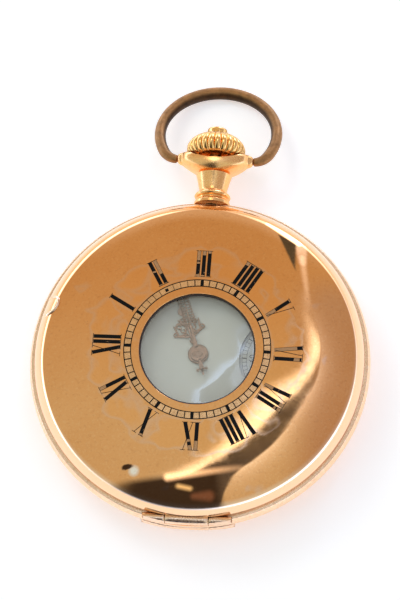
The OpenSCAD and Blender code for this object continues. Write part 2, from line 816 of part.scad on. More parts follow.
// Onion crown with its cap, in rings of [height above the base, radius, depth of the flutes there]
function crown_ring(t) =
    let (a = 180 * t)
    [crown_h * (1 - cos(a)) / 2, crown_foot_r + (crown_r - crown_foot_r) * pow(sin(a), 0.75)
        - t * (crown_foot_r - crown_cap_r), flute_depth * pow(sin(a), 0.8)];

module crown() {
    per = 4;
    n = crown_flutes * per;
    rings = concat([for (t = [0 : 1 / 14 : 1]) crown_ring(t)],
        [for (a = [0 : 18 : 90]) [crown_h + 0.15 + crown_cap_h * sin(a), crown_cap_r * pow(cos(a), 0.6) + 0.05, 0]]);
    last = len(rings) - 1;
    points = [for (s = rings) for (k = [0 : n - 1])
        let (r = s[1] - s[2] * (1 - abs(cos(180 * k / per))))
        [r * cos(360 * k / n), r * sin(360 * k / n), s[0]]];
    side_faces = [for (i = [0 : last - 1]) for (k = [0 : n - 1])
        let (a = i * n + k, b = i * n + (k + 1) % n)
        each [[a, a + n, b + n], [a, b + n, b]]];
    color(GOLD)
        translate([0, crown_y, stem_z])
            rotate([-90, 0, 0])
                polyhedron(points, concat(side_faces, [[for (k = [0 : n - 1]) k]],
                    [[for (k = [n - 1 : -1 : 0]) last * n + k]]), convexity = 8);
}

// Shaft of the crown, with the socket for the winding stem
module crown_shaft() {
    color(STEEL)
        difference() {
            rod(shaft_inner_y, crown_y, shaft_r);
            rod(shaft_inner_y - 1, stem_outer_y, stem_r);
        }
}

// Winding stem, square where the pinions ride on it
module winding_stem() {
    color(STEEL) {
        rod(square_y1, stem_outer_y, stem_r);
        translate([-stem_square / 2, square_y0, stem_z - stem_square / 2])
            cube([stem_square, square_y1 - square_y0, stem_square]);
        rod(stem_inner_y, square_y0, journal_r);
    }
}

module square_hole(y0, y1) {
    w = stem_square + 0.04;
    translate([-w / 2, y0, stem_z - w / 2])
        cube([w, y1 - y0, w]);
}

// Ratchet teeth that two pinions on the stem turn towards each other
module stem_teeth(y, h, n, r0, r1, turn) {
    for (i = [0 : n - 1])
        translate([0, y, stem_z])
            rotate([0, turn + i * 360 / n, 0])
                translate([r0, 0, -0.14])
                    cube([r1 - r0, h, 0.28]);
}

module winding_pinion() {
    y0 = winding_pinion_y - pinion_l / 2;
    color(STEEL)
        difference() {
            union() {
                translate([0, y0, stem_z])
                    rotate([-90, 0, 0])
                        rotate(90 - 180 / winding_pinion_teeth)
                            linear_extrude(pinion_l)
                                polygon(tooth_points(winding_pinion_teeth, pinion_m, 0.30, 0.22, 0.8, 1.2));
                rod(y0 - 0.3, y0, 1.3);
                stem_teeth(y0 - 0.55, 0.3, 6, 0.85, 1.25, 0);
            }
            square_hole(y0 - 1, y0 + pinion_l + 1);
        }
}

module sliding_pinion() {
    y1 = winding_pinion_y - pinion_l / 2 - 0.3 - 0.3;
    color(STEEL)
        difference() {
            union() {
                rod(clutch_y + 0.5, clutch_y + 1.2, clutch_r);
                rod(clutch_y + 1.2, y1 - 0.7, clutch_r - 0.45);
                rod(y1 - 0.7, y1, clutch_r);
                stem_teeth(y1 - 0.05, 0.3, 6, 0.85, 1.25, 30);
                stem_teeth(clutch_y, 0.5, 14, 1.0, clutch_r, 0);
                rod(clutch_y, clutch_y + 0.5, 1.05);
            }
            square_hole(clutch_y - 1, y1 + 1);
        }
}

// Crown wheel: spur teeth for the ratchet wheel, and a crown of face teeth for the winding pinion
module crown_wheel() {
    n = crown_face_teeth;
    r0 = crown_face_r - crown_face_w / 2;
    r1 = crown_face_r + crown_face_w / 2;
    face_pitch = 360 / n;
    color(STEEL)
        difference() {
            at(crown_wheel_p) {
                translate([0, 0, winding_wheel_z])
                    linear_extrude(winding_wheel_t)
                        difference() {
                            wheel_teeth(winding_mesh[1], winding_mesh[2]);
                            circle(crown_core_r + play);
                        }
                translate([0, 0, winding_wheel_z + winding_wheel_t])
                    difference() {
                        cylinder(r = r1, h = face_top - face_depth - winding_wheel_z - winding_wheel_t);
                        translate([0, 0, -1])
                            cylinder(r = r0, h = 9);
                    }
                translate([0, 0, face_top - face_depth])
                    linear_extrude(face_depth)
                        for (i = [0 : n - 1])
                            rotate(90 + i * face_pitch)
                                translate([r0 + 0.02, -face_tooth_w / 2])
                                    square([crown_face_w - 0.04, face_tooth_w]);
            }
        }
}

module ratchet_wheel() {
    turn = mate(bearing(crown_wheel_p, barrel_p), winding_mesh[1], 0, winding_mesh[0]);
    color(STEEL)
        at(barrel_p, winding_wheel_z)
            linear_extrude(winding_wheel_t)
                difference() {
                    rotate(turn)
                        wheel_teeth(winding_mesh[0], winding_mesh[2]);
                    square(barrel_square, center = true);
                }
}

// Click that holds the ratchet wheel, drawn just clear of the teeth
module click() {
    reach = click_arm;
    color(STEEL)
        at(click_p, winding_wheel_z)
            rotate(click_turn)
                linear_extrude(winding_wheel_t)
                    difference() {
                        union() {
                            circle(1.0);
                            polygon([[0, 0.8], [reach - 0.5, 0.5], [reach, 0], [reach - 0.9, -0.25], [0, -0.8]]);
                        }
                        circle(click_post_r + play);
                    }
}

module click_spring() {
    p = click_spring_p;
    color(BLUED)
        difference() {
            translate([0, 0, winding_wheel_z + 0.1])
                linear_extrude(winding_wheel_t - 0.1) {
                    translate(p)
                        circle(0.75);
                    polygon(concat(arc(click_p, 1.6, click_turn + 170, click_turn + 60, 12),
                        arc(click_p, 1.3, click_turn + 60, click_turn + 170, 12)));
                }
            post(p, 0, stem_z, 0.3);
        }
}

// Main plate
module escapement_outline() {
    line = bearing(escape_p, balance_p);
    translate(escape_p)
        circle(escape_r + 0.4);
    translate(pallet_p)
        circle(3.45);
    translate(pallet_p)
        rotate(line)
            translate([0, -1.7])
                square([norm(balance_p - pallet_p), 3.4]);
    translate(balance_p)
        circle(1.9);
}

module main_plate() {
    color(GILT)
        difference() {
            union() {
                post([0, 0], plate_z, plate_top, plate_r);
                tube(seat_r - 1, flange_r, flange_z, plate_top);
                tube(plate_r - 1.5, plate_r, plate_top - 0.1, dial_z);
                post(minute_p, plate_top - 0.1, dial_z - 0.1, post_r);
                post(setting_p, plate_top - 0.5, dial_z - 0.1, post_r);
            }
            post(barrel_p, plate_z - 1, barrel_recess_top, barrel_r + 1);
            post(barrel_p, plate_z, plate_top + 1, barrel_pivot_r + play);
            post(centre_p, plate_z - 1, barrel_recess_top, 2);
            post(centre_p, plate_z, plate_top + 1, centre_pivot_r + play);
            translate([0, 0, plate_z - 1])
                linear_extrude(escapement_top - plate_z + 1)
                    escapement_outline();
            post(fourth_p, plate_z - 1, plate_top + 1, jewel_r);
            post(third_p, plate_z - 1, plate_z + jewel_t, jewel_r);
            for (p = [escape_p, pallet_p, balance_p])
                post(p, plate_z, escapement_top + jewel_t, jewel_r);
            difference() {
                post(setting_p, setting_z - 0.05, plate_top + 1, 3);
                post(setting_p, plate_z, plate_top + 1, post_r);
            }
            stem_room();
            for (p = concat(barrel_screws, train_screws, [cock_screw]))
                post(p, plate_z - 1, plate_z + 1.2, bridge_screw_r);
            for (p = case_screws_at) {
                post(p, plate_z - 1, plate_z + 0.6, case_screw_head + 0.1);
                post(p, plate_z, plate_z + 1.6, bridge_screw_r);
            }
            for (p = pallet_screws)
                post(p, plate_z - 1, plate_z + 1, pallet_screw_r);
        }
}

// Channel of the stem and its pinions, shared by the plate and the barrel bridge
module stem_room() {
    y0 = winding_pinion_y - pinion_l / 2;
    rod(y0 - 0.1, winding_pinion_y + pinion_l / 2 + 0.1, pinion_tip_r + 0.15);
    rod(clutch_y - 0.15, y0, clutch_r + 0.15);
    rod(stem_inner_y - crown_press - 0.1, clutch_y, journal_r + play);
    rod(clutch_y, case_r, stem_r + play);
}

// Outlines of the bridges
module barrel_bridge_side(gap) {
    intersection() {
        circle(bridge_r);
        union() {
            translate(crown_wheel_p)
                circle(crown_wheel_room + gap);
            polygon([[5.8 + gap, 24], [5.8 + gap, crown_wheel_p[1]], [-2.9 + gap, 3.4 - gap], [-2.9 + gap, -3.8 - gap],
                [-24, -6.6 - gap], [-24, 24]]);
        }
    }
}

module barrel_bridge() {
    color(GILT)
        difference() {
            union() {
                translate([0, 0, bridge_z])
                    linear_extrude(bridge_t)
                        barrel_bridge_side(0);
                translate([0, 0, bridge_top - 0.1])
                    linear_extrude(pillar_h + 0.1)
                        intersection() {
                            circle(bridge_r);
                            translate([-6, crown_wheel_p[1] - crown_face_r - 0.9])
                                square([11.5, 24]);
                        }
                post(barrel_screws[0], bridge_top - 0.1, plate_z, foot_r);
                post(click_p, winding_wheel_z + 0.05, bridge_z + 0.1, click_post_r);
                post(crown_wheel_p, winding_wheel_z - 0.02, bridge_z + 0.1, crown_core_r);
            }
            post(barrel_p, bridge_top, plate_z + 1, barrel_r + 1.1);
            post(barrel_p, 0, plate_z, barrel_pivot_r + play);
            post(centre_p, bridge_top, plate_z - 0.5, centre_mesh[0] * centre_mesh[2] / 2 + 0.5);
            post(third_p, bridge_top, plate_z + 1, third_mesh[0] * third_mesh[2] / 2 + 0.5);
            at(crown_wheel_p, bridge_z - 1)
                difference() {
                    cylinder(r = crown_face_r + crown_face_w / 2 + 0.12, h = face_top + 0.1 - bridge_z + 1);
                    translate([0, 0, -1])
                        cylinder(r = crown_face_r - crown_face_w / 2 - 0.12, h = 9);
                }
            stem_room();
            post(click_spring_p, bridge_z - 1, bridge_z + 0.6, 0.3);
            for (p = barrel_screws)
                screw_room(p, bridge_z, plate_z + 1, bridge_screw_head, 0.5, bridge_screw_r);
        }
}

module jewel_room(p) {
    post(p, bridge_z - 1, bridge_top + 1, jewel_r);
}

module train_bridge() {
    color(GILT)
        difference() {
            union() {
                translate([0, 0, bridge_z])
                    linear_extrude(bridge_t)
                        difference() {
                            circle(bridge_r);
                            barrel_bridge_side(bridge_gap);
                            translate(balance_p)
                                circle(balance_r + 0.9);
                            translate([-30, -36])
                                square([60, 25]);
                            translate([-30, -12])
                                square([30 - 2.9 + bridge_gap, 24]);
                        }
                for (p = train_screws)
                    post(p, bridge_top - 0.1, plate_z, foot_r);
            }
            for (p = [third_p, fourth_p, escape_p])
                jewel_room(p);
            post(centre_p, 0, plate_z, centre_pivot_r + play);
            for (p = train_screws)
                screw_room(p, bridge_z, plate_z + 1, bridge_screw_head, 0.5, bridge_screw_r);
        }
}

// Cock that carries the balance
module balance_cock() {
    line = bearing(cock_screw, balance_p);
    l = norm(balance_p - cock_screw);
    color(GILT)
        difference() {
            union() {
                translate([0, 0, cock_z])
                    linear_extrude(cock_t)
                        intersection() {
                            circle(bridge_r);
                            union() {
                                translate(balance_p)
                                    circle(2.4);
                                translate(cock_screw)
                                    circle(3);
                                translate(cock_screw)
                                    rotate(line)
                                        polygon([[0, -2.9], [l, -1.6], [l, 1.6], [0, 2.9]]);
                            }
                        }
                intersection() {
                    post(cock_screw, cock_top - 0.1, plate_z, cock_foot_r);
                    post([0, 0], 0, front_z, bridge_r);
                }
                at(balance_p, cock_top - 0.1)
                    rotate(line + 180)
                        translate([hairspring_r + 0.05, -0.3])
                            cube([0.6, 0.6, balance_z - 0.3 - cock_top + 0.1]);
            }
            post(balance_p, 0, plate_z, jewel_r);
            screw_room(cock_screw, cock_z, plate_z + 1, bridge_screw_head, 0.5, bridge_screw_r);
        }
}

// Bridge of the pallet arbor
module pallet_bridge() {
    line = bearing(escape_p, balance_p) + 90;
    color(GILT)
        difference() {
            at(pallet_p, pallet_bridge_z)
                rotate(line)
                    linear_extrude(pallet_bridge_t) {
                        translate([-pallet_bridge_l, -0.95])
                            square([2 * pallet_bridge_l, 1.9]);
                        for (x = [-pallet_bridge_l, pallet_bridge_l])
                            translate([x, 0])
                                circle(1.15);
                    }
            post(pallet_p, 0, plate_z, 0.5);
            for (p = pallet_screws)
                screw_room(p, pallet_bridge_z, plate_z, 0.75, 0.25, pallet_screw_r);
        }
}

module bridge_screws() {
    color(STEEL) {
        for (p = concat(barrel_screws, train_screws))
            screw(p, bridge_z, plate_z + 1.1, bridge_screw_head, 0.5, bridge_screw_r);
        screw(cock_screw, cock_z, plate_z + 1.1, bridge_screw_head, 0.5, bridge_screw_r);
        for (p = pallet_screws)
            screw(p, pallet_bridge_z, plate_z + 0.9, 0.75, 0.25, pallet_screw_r);
        screw(crown_wheel_p, winding_wheel_z - 0.3, winding_wheel_z - 0.02, crown_core_r + 0.8, 0.28, 0.5);
        screw(click_p, winding_wheel_z - 0.3, winding_wheel_z + 0.05, 0.75, 0.28, 0.25);
        screw(click_spring_p, winding_wheel_z - 0.2, bridge_z + 0.6, 0.6, 0.3, 0.25);
    }
}

// Screws whose heads hold the movement under the web of the band
module case_screws() {
    color(STEEL)
        for (p = case_screws_at)
            screw(p, plate_z + 0.1, plate_z + 1.5, case_screw_head, 0.48, bridge_screw_r);
}

module jewel(p, z) {
    at(p, z)
        difference() {
            cylinder(r = jewel_r, h = jewel_t);
            translate([0, 0, -1])
                cylinder(r = pivot_r + play, h = jewel_t + 2);
        }
}

module jewels() {
    color(RUBY) {
        for (p = [third_p, fourth_p, escape_p])
            jewel(p, bridge_top - jewel_t);
        jewel(balance_p, cock_top - jewel_t);
        jewel(third_p, plate_z);
        at(fourth_p, plate_z)
            difference() {
                cylinder(r = jewel_r, h = jewel_t);
                translate([0, 0, -1])
                    cylinder(r = seconds_post_r + play, h = jewel_t + 2);
            }
        for (p = [escape_p, pallet_p, balance_p])
            jewel(p, escapement_top);
        at(pallet_p, pallet_bridge_z)
            difference() {
                cylinder(r = 0.5, h = pallet_bridge_t - 0.1);
                translate([0, 0, -1])
                    cylinder(r = pivot_r + play, h = 3);
            }
    }
}

// Going barrel
module barrel_drum() {
    n = barrel_mesh[0];
    m = barrel_mesh[2];
    color(BRASS)
        difference() {
            union() {
                post(barrel_p, barrel_z, barrel_z + barrel_h, barrel_r);
                at(barrel_p, barrel_tooth_z)
                    linear_extrude(barrel_tooth_t)
                        wheel_teeth(n, m);
            }
            post(barrel_p, barrel_z - 1, barrel_z + barrel_h - barrel_wall, barrel_r - barrel_wall);
            post(barrel_p, barrel_z, plate_top, barrel_pivot_r + play);
        }
}

module barrel_cover() {
    color(BRASS)
        difference() {
            post(barrel_p, barrel_z, barrel_z + barrel_cover_t, barrel_r - barrel_wall);
            post(barrel_p, barrel_z - 1, barrel_z + 1, barrel_pivot_r + play);
        }
}

module barrel_arbor() {
    core_z = barrel_z + barrel_cover_t + 0.05;
    color(STEEL) {
        screw(barrel_p, winding_wheel_z - 0.3, winding_wheel_z, 1.6, 0.3, 0.5);
        at(barrel_p, winding_wheel_z + winding_wheel_t / 2)
            cube([barrel_square, barrel_square, winding_wheel_t], center = true);
        post(barrel_p, winding_wheel_z + winding_wheel_t, plate_top - 0.1, barrel_pivot_r);
        post(barrel_p, core_z, barrel_z + barrel_h - barrel_wall - 0.05, barrel_core_r);
    }
}

module mainspring() {
    z0 = barrel_z + barrel_cover_t + 0.1;
    color(BLUED)
        spiral(barrel_p, z0, barrel_h - barrel_wall - barrel_cover_t - 0.2, barrel_core_r + 0.4,
            barrel_r - barrel_wall - 0.15, 9, 0.14, 0);
}

// Train
module centre_wheel() {
    color(BRASS)
        wheel(centre_p, centre_wheel_z, wheel_t, centre_mesh[0], centre_mesh[2], 0, 5, 0.8);
}

module centre_arbor() {
    turn = mate(bearing(barrel_p, centre_p), barrel_mesh[0], 0, barrel_mesh[1]);
    color(STEEL) {
        post(centre_p, bridge_z + 0.05, centre_wheel_z, centre_pivot_r);
        post(centre_p, centre_wheel_z, centre_wheel_z + wheel_t, 0.8);
        pinion(centre_p, centre_wheel_z + wheel_t, barrel_tooth_z + barrel_tooth_t + 0.05, barrel_mesh[1],
            barrel_mesh[2], turn);
        post(centre_p, barrel_tooth_z + barrel_tooth_t + 0.05, plate_top + 0.05, centre_pivot_r);
        post(centre_p, plate_top + 0.05, cannon_top - 0.05, centre_post_r);
    }
}

module third_wheel() {
    color(BRASS)
        wheel(third_p, third_wheel_z, wheel_t, third_mesh[0], third_mesh[2], 0, 5, 0.45);
}

// Arbor with pivots at both ends, a pinion, and a seat for its wheel
module arbor(p, z0, z1, pinion_z0, pinion_z1, n, m, turn, seat_r2, seat_z) {
    post(p, z0 - 0.3, z0 + 0.1, pivot_r);
    post(p, z0 + 0.05, z1 - 0.05, 0.3);
    post(p, z1 - 0.1, z1 + 0.3, pivot_r);
    pinion(p, pinion_z0, pinion_z1, n, m, turn);
    post(p, seat_z, seat_z + wheel_t, seat_r2);
}

module third_arbor() {
    turn = mate(bearing(centre_p, third_p), centre_mesh[0], 0, centre_mesh[1]);
    color(STEEL)
        arbor(third_p, bridge_top, plate_z, centre_wheel_z - 0.1, third_wheel_z, centre_mesh[1], centre_mesh[2],
            turn, 0.45, third_wheel_z);
}

module fourth_wheel() {
    color(BRASS)
        wheel(fourth_p, fourth_wheel_z, wheel_t, fourth_mesh[0], fourth_mesh[2], 0, 5, 0.45);
}

module fourth_arbor() {
    turn = mate(bearing(third_p, fourth_p), third_mesh[0], 0, third_mesh[1]);
    color(STEEL) {
        arbor(fourth_p, bridge_top, plate_z, fourth_wheel_z + wheel_t, third_wheel_z + wheel_t + 0.1, third_mesh[1],
            third_mesh[2], turn, 0.45, fourth_wheel_z);
        post(fourth_p, plate_z - 0.1, seconds_hand_z + hand_t + 0.06, seconds_post_r);
    }
}

// Escape wheel with fifteen club teeth
module escape_wheel() {
    r = escape_r;
    hub = 0.95;
    tooth = [[r - 0.95, -5], [r - 0.12, -4.2], [r, -2.2], [r - 0.05, 1.4], [r - 0.3, 0.6], [r - 0.85, 2.5]];
    color(GILT)
        at(escape_p, escape_z)
            linear_extrude(wheel_t)
                difference() {
                    polygon([for (i = [0 : escape_teeth - 1]) for (p = tooth)
                        polar(p[0], p[1] + i * 360 / escape_teeth)]);
                    difference() {
                        circle(r - 1.35);
                        circle(hub);
                        for (a = [0 : 90 : 270])
                            rotate(a)
                                translate([0, -0.2])
                                    square([r, 0.4]);
                    }
                    circle(0.45);
                }
}

module escape_arbor() {
    turn = mate(bearing(fourth_p, escape_p), fourth_mesh[0], 0, fourth_mesh[1]);
    color(STEEL) {
        post(escape_p, bridge_top - 0.3, bridge_top + 0.1, pivot_r);
        post(escape_p, bridge_top + 0.05, escapement_top - 0.05, 0.3);
        post(escape_p, escapement_top - 0.1, escapement_top + 0.3, pivot_r);
        pinion(escape_p, fourth_wheel_z - 0.1, fourth_wheel_z + wheel_t + 0.1, fourth_mesh[1], fourth_mesh[2], turn);
        post(escape_p, escape_z, escape_z + wheel_t, 0.45);
    }
}

// Places of the two stones on the lever
module stones(grow) {
    at(pallet_p, fork_z - 0.02)
        rotate(bearing(escape_p, balance_p))
            for (s = [-1, 1])
                translate([-1.25, s * 2.3, 0])
                    rotate(s * 12)
                        translate([-0.6, -0.2, -grow])
                            cube([1.2, 0.4, fork_t + 0.04 + 2 * grow]);
}

// Lever with its arms, the fork and its arbor
module pallet_fork() {
    l = fork_l;
    color(STEEL)
        difference() {
            union() {
                at(pallet_p, fork_z)
                    rotate(bearing(escape_p, balance_p))
                        linear_extrude(fork_t) {
                            circle(0.75);
                            polygon([[0, -0.5], [l - 1, -0.22], [l - 0.9, -0.62], [l, -0.75], [l, -0.3],
                                [l - 0.55, -0.2], [l - 0.55, 0.2], [l, 0.3], [l, 0.75], [l - 0.9, 0.62],
                                [l - 1, 0.22], [0, 0.5]]);
                            for (s = [-1, 1])
                                polygon([[0.3, s * 0.4], [-0.1, s * 2.5], [-0.6, s * 3.0], [-1.6, s * 2.9],
                                    [-1.5, s * 1.8], [-0.8, s * 1.7], [-0.4, s * 0.3]]);
                        }
                post(pallet_p, pallet_bridge_z + 0.1, pallet_bridge_z + 0.6, pivot_r);
                post(pallet_p, plate_z + 0.05, escapement_top - 0.05, 0.3);
                post(pallet_p, escapement_top - 0.1, escapement_top + 0.3, pivot_r);
            }
            stones(1);
        }
}

module pallet_stones() {
    color(RUBY)
        stones(0);
}

// Balance: rim on two arms, with its timing screws
module balance_wheel() {
    rim = 0.75;
    color(GILT)
        at(balance_p, balance_z) {
            linear_extrude(balance_h)
                difference() {
                    circle(balance_r);
                    circle(balance_r - rim);
                }
            linear_extrude(0.25)
                difference() {
                    union() {
                        circle(1.1);
                        translate([-balance_r + rim / 2, -0.4])
                            square([2 * balance_r - rim, 0.8]);
                    }
                    circle(0.5);
                }
            for (i = [0 : 15])
                rotate((i + 0.5) * 22.5)
                    translate([balance_r - 0.15, 0, balance_h / 2])
                        rotate([0, 90, 0])
                            cylinder(r = 0.27, h = 0.55);
        }
}

// Balance staff with its roller, the impulse pin and the hairspring collet
module balance_staff() {
    line = bearing(balance_p, pallet_p);
    color(STEEL) {
        post(balance_p, cock_top - 0.3, cock_top + 0.1, pivot_r);
        post(balance_p, cock_top + 0.05, escapement_top - 0.05, 0.35);
        post(balance_p, escapement_top - 0.1, escapement_top + 0.3, pivot_r);
        post(balance_p, balance_z, balance_z + 0.25, 0.5);
        post(balance_p, hairspring_z - 0.05, hairspring_z + hairspring_t + 0.05, 0.85);
        post(balance_p, plate_z + 0.02, plate_z + 0.2, 1.35);
    }
    color(RUBY)
        post(balance_p + polar(1.05, line), plate_z + 0.2, fork_z - 0.05, 0.14);
}

module hairspring() {
    color(BLUED)
        spiral(balance_p, hairspring_z, hairspring_t, 1.2, hairspring_r, 9, 0.08, bearing(balance_p, cock_screw));
}

// Index that shortens the hairspring, on the outside of the cock
module regulator() {
    line = bearing(balance_p, cock_screw);
    color(STEEL)
        at(balance_p, cock_z - 0.3)
            difference() {
                linear_extrude(0.28) {
                    difference() {
                        union() {
                            circle(1.6);
                            rotate(line)
                                polygon([[0, -0.6], [5.6, -0.18], [6.2, 0], [5.6, 0.18], [0, 0.6]]);
                            rotate(line + 180)
                                polygon([[0, -0.5], [2.2, -0.3], [2.2, 0.3], [0, 0.5]]);
                        }
                        circle(jewel_r + 0.1);
                    }
                }
            }
}

// Dial with the hole of the sunk seconds dial
module dial() {
    color(ENAMEL)
        difference() {
            post([0, 0], dial_z, dial_top, dial_r);
            post(fourth_p, dial_z - 1, dial_top + 1, seconds_r);
            post(centre_p, dial_z - 1, dial_top + 1, pipe_r + 0.35);
        }
}

module seconds_dial() {
    color(ENAMEL)
        difference() {
            post(fourth_p, dial_z - seconds_dial_t, dial_z, seconds_r + 0.45);
            post(fourth_p, dial_z - 1, dial_z + 1, seconds_post_r + 0.3);
        }
}

// Motion work
module cannon_pinion() {
    color(STEEL)
        difference() {
            union() {
                pinion(centre_p, minute_wheel_z, minute_wheel_z + minute_wheel_t + 0.03, minute_mesh[1],
                    minute_mesh[2], 0);
                post(centre_p, minute_wheel_z, cannon_top, cannon_r);
            }
            post(centre_p, plate_top - 1, cannon_top + 1, centre_post_r + play);
        }
}

function minute_wheel_turn() = mate(bearing(centre_p, minute_p), minute_mesh[1], 0, minute_mesh[0]);

module minute_wheel() {
    color(BRASS)
        difference() {
            union() {
                wheel(minute_p, minute_wheel_z, minute_wheel_t, minute_mesh[0], minute_mesh[2], minute_wheel_turn(),
                    4, post_r);
                pinion(minute_p, minute_wheel_z + minute_wheel_t / 2, hour_wheel_z + hour_wheel_t + 0.02, hour_mesh[1],
                    hour_mesh[2], 0);
            }
            post(minute_p, plate_top - 1, dial_top, post_r + play);
        }
}

module setting_wheel() {
    turn = mate(bearing(minute_p, setting_p), minute_mesh[0], minute_wheel_turn(), setting_mesh[1]);
    color(STEEL)
        at(setting_p, setting_z)
            difference() {
                linear_extrude(minute_wheel_z + minute_wheel_t - setting_z)
                    rotate(turn)
                        wheel_teeth(setting_mesh[1], setting_mesh[2]);
                translate([0, 0, -1])
                    cylinder(r = post_r + play, h = 3);
            }
}

module hour_wheel() {
    turn = mate(bearing(minute_p, centre_p), hour_mesh[1], 0, hour_mesh[0]);
    color(BRASS)
        difference() {
            union() {
                at(centre_p, hour_wheel_z)
                    rotate(turn)
                        linear_extrude(hour_wheel_t)
                            wheel_teeth(hour_mesh[0], hour_mesh[2]);
                post(centre_p, hour_wheel_z, hour_hand_z + hand_t, pipe_r);
            }
            post(centre_p, plate_top, dial_top + 3, cannon_r + play + 0.02);
        }
}

// Hands, pointing along +X before they are turned
module scroll(x, w) {
    difference() {
        union() {
            translate([x, w * 0.55])
                circle(w * 0.45);
            translate([x, -w * 0.55])
                circle(w * 0.45);
            polygon([[x - w, -0.22], [x, -w * 0.8], [x + w * 0.9, -0.25], [x + w * 0.9, 0.25], [x, w * 0.8],
                [x - w, 0.22]]);
        }
        translate([x, w * 0.5])
            circle(w * 0.17);
        translate([x, -w * 0.5])
            circle(w * 0.17);
    }
}

module hour_hand() {
    color(ROSE)
        at(centre_p, hour_hand_z)
            rotate(clock(hour_angle))
                linear_extrude(hand_t)
                    difference() {
                        union() {
                            circle(hour_hub_r);
                            polygon([[0, -0.45], [3.6, -0.24], [3.6, 0.24], [0, 0.45]]);
                            scroll(4.7, 1.45);
                            polygon([[5.6, -0.3], [6.6, -0.62], [hour_l, 0], [6.6, 0.62], [5.6, 0.3]]);
                        }
                        circle(pipe_r);
                    }
}

module minute_hand() {
    color(ROSE)
        at(centre_p, minute_hand_z)
            rotate(clock(minute_angle))
                linear_extrude(hand_t)
                    difference() {
                        union() {
                            circle(1.15);
                            polygon([[-2.2, -0.16], [9.1, -0.26], [9.1, 0.26], [-2.2, 0.16]]);
                            translate([-2.4, 0])
                                circle(0.5);
                            scroll(9.6, 1.1);
                            polygon([[10.4, -0.24], [11.4, -0.45], [minute_l, 0], [11.4, 0.45], [10.4, 0.24]]);
                        }
                        circle(cannon_r);
                    }
}

module seconds_hand() {
    color(BLUED)
        at(fourth_p, seconds_hand_z)
            rotate(clock(second_angle))
                linear_extrude(hand_t)
                    difference() {
                        union() {
                            circle(0.55);
                            polygon([[-1.7, -0.18], [second_l, -0.05], [second_l, 0.05], [-1.7, 0.18]]);
                        }
                        circle(seconds_post_r);
                    }
}

// Bezel that holds the crystal and clamps the dial
module bezel() {
    outer = collar_r - collar_t - 0.1;
    z0 = band_top;
    shelf = dial_top + 0.35;
    bend_r = 1.3;
    color(GOLD)
        rotate_extrude()
            polygon(concat([[flange_r + 0.1, z0], [outer, z0], [outer, bezel_top - bend_r]],
                bend([outer - bend_r, bezel_top - bend_r], bend_r, 90, 0, 8),
                [[crystal_r + 0.02, bezel_top], [crystal_r + 0.02, shelf], [dial_r + 0.25, shelf],
                [dial_r + 0.25, dial_top + 0.05], [flange_r + 0.1, dial_top + 0.05]]));
}

module crystal() {
    shelf = dial_top + 0.35;
    r = crystal_r;
    big = (r * r + crystal_rise * crystal_rise) / 2 / crystal_rise;
    c = [0, shelf + crystal_rise - big];
    a = asin(r / big);
    color(GLASS)
        rotate_extrude()
            polygon(concat([[0, shelf + crystal_rise]], bend(c, big, 0, a, 10),
                backwards(bend(c + [0, crystal_t], big, 0, a, 10)), [[0, shelf + crystal_rise + crystal_t]]));
}

case_band();
pendant();
pendant_sleeve();
front_cover();
window_glass();
window_glass_ring();
bezel();
crystal();
back_cover();
cuvette();
hinge_pins();
lock_spring();
lift_spring();
spring_screws();
bow();
bow_pivots();
crown();
crown_shaft();
winding_stem();
winding_pinion();
sliding_pinion();
crown_wheel();
ratchet_wheel();
click();
click_spring();
main_plate();
barrel_bridge();
train_bridge();
balance_cock();
pallet_bridge();
bridge_screws();
case_screws();
jewels();
barrel_drum();
barrel_cover();
barrel_arbor();
mainspring();
centre_wheel();
centre_arbor();
third_wheel();
third_arbor();
fourth_wheel();
fourth_arbor();
escape_wheel();
escape_arbor();
pallet_fork();
pallet_stones();
balance_wheel();
balance_staff();
hairspring();
regulator();
dial();
seconds_dial();
cannon_pinion();
minute_wheel();
setting_wheel();
hour_wheel();
hour_hand();
minute_hand();
seconds_hand();
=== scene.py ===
"""Half-hunter pocket watch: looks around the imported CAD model. Lengths in the code are millimetres."""
import random
from math import asin, copysign, cos, degrees, hypot, pi, radians, sin, sqrt

import bmesh
import bpy
from mathutils import Matrix, Vector


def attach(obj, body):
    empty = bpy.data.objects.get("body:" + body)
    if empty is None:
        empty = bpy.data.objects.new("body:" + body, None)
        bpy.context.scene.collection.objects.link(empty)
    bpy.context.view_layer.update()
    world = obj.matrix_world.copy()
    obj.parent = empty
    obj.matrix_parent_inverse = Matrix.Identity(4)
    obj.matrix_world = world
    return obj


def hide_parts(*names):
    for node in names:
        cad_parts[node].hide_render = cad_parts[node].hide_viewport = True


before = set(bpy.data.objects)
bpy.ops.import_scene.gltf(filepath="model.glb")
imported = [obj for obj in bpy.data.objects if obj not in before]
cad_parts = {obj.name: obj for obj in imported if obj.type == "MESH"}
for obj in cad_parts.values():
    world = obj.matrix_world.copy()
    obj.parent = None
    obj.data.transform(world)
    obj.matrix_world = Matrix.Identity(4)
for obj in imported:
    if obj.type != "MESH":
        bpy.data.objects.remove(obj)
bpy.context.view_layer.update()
MM = 0.001
TAU = 2 * pi
scene = bpy.context.scene


def placed(name, data):
    o = bpy.data.objects.new(name, data)
    scene.collection.objects.link(o)
    return o


def meshed(name, bm):
    """Object with the mesh that was drawn in bm."""
    mesh = bpy.data.meshes.new(name)
    bm.to_mesh(mesh)
    bm.free()
    return placed(name, mesh)


def evaluated(o):
    """Mesh of an object with its modifier or its letters worked out."""
    bpy.context.view_layer.update()
    return bpy.data.meshes.new_from_object(o.evaluated_get(bpy.context.evaluated_depsgraph_get()))


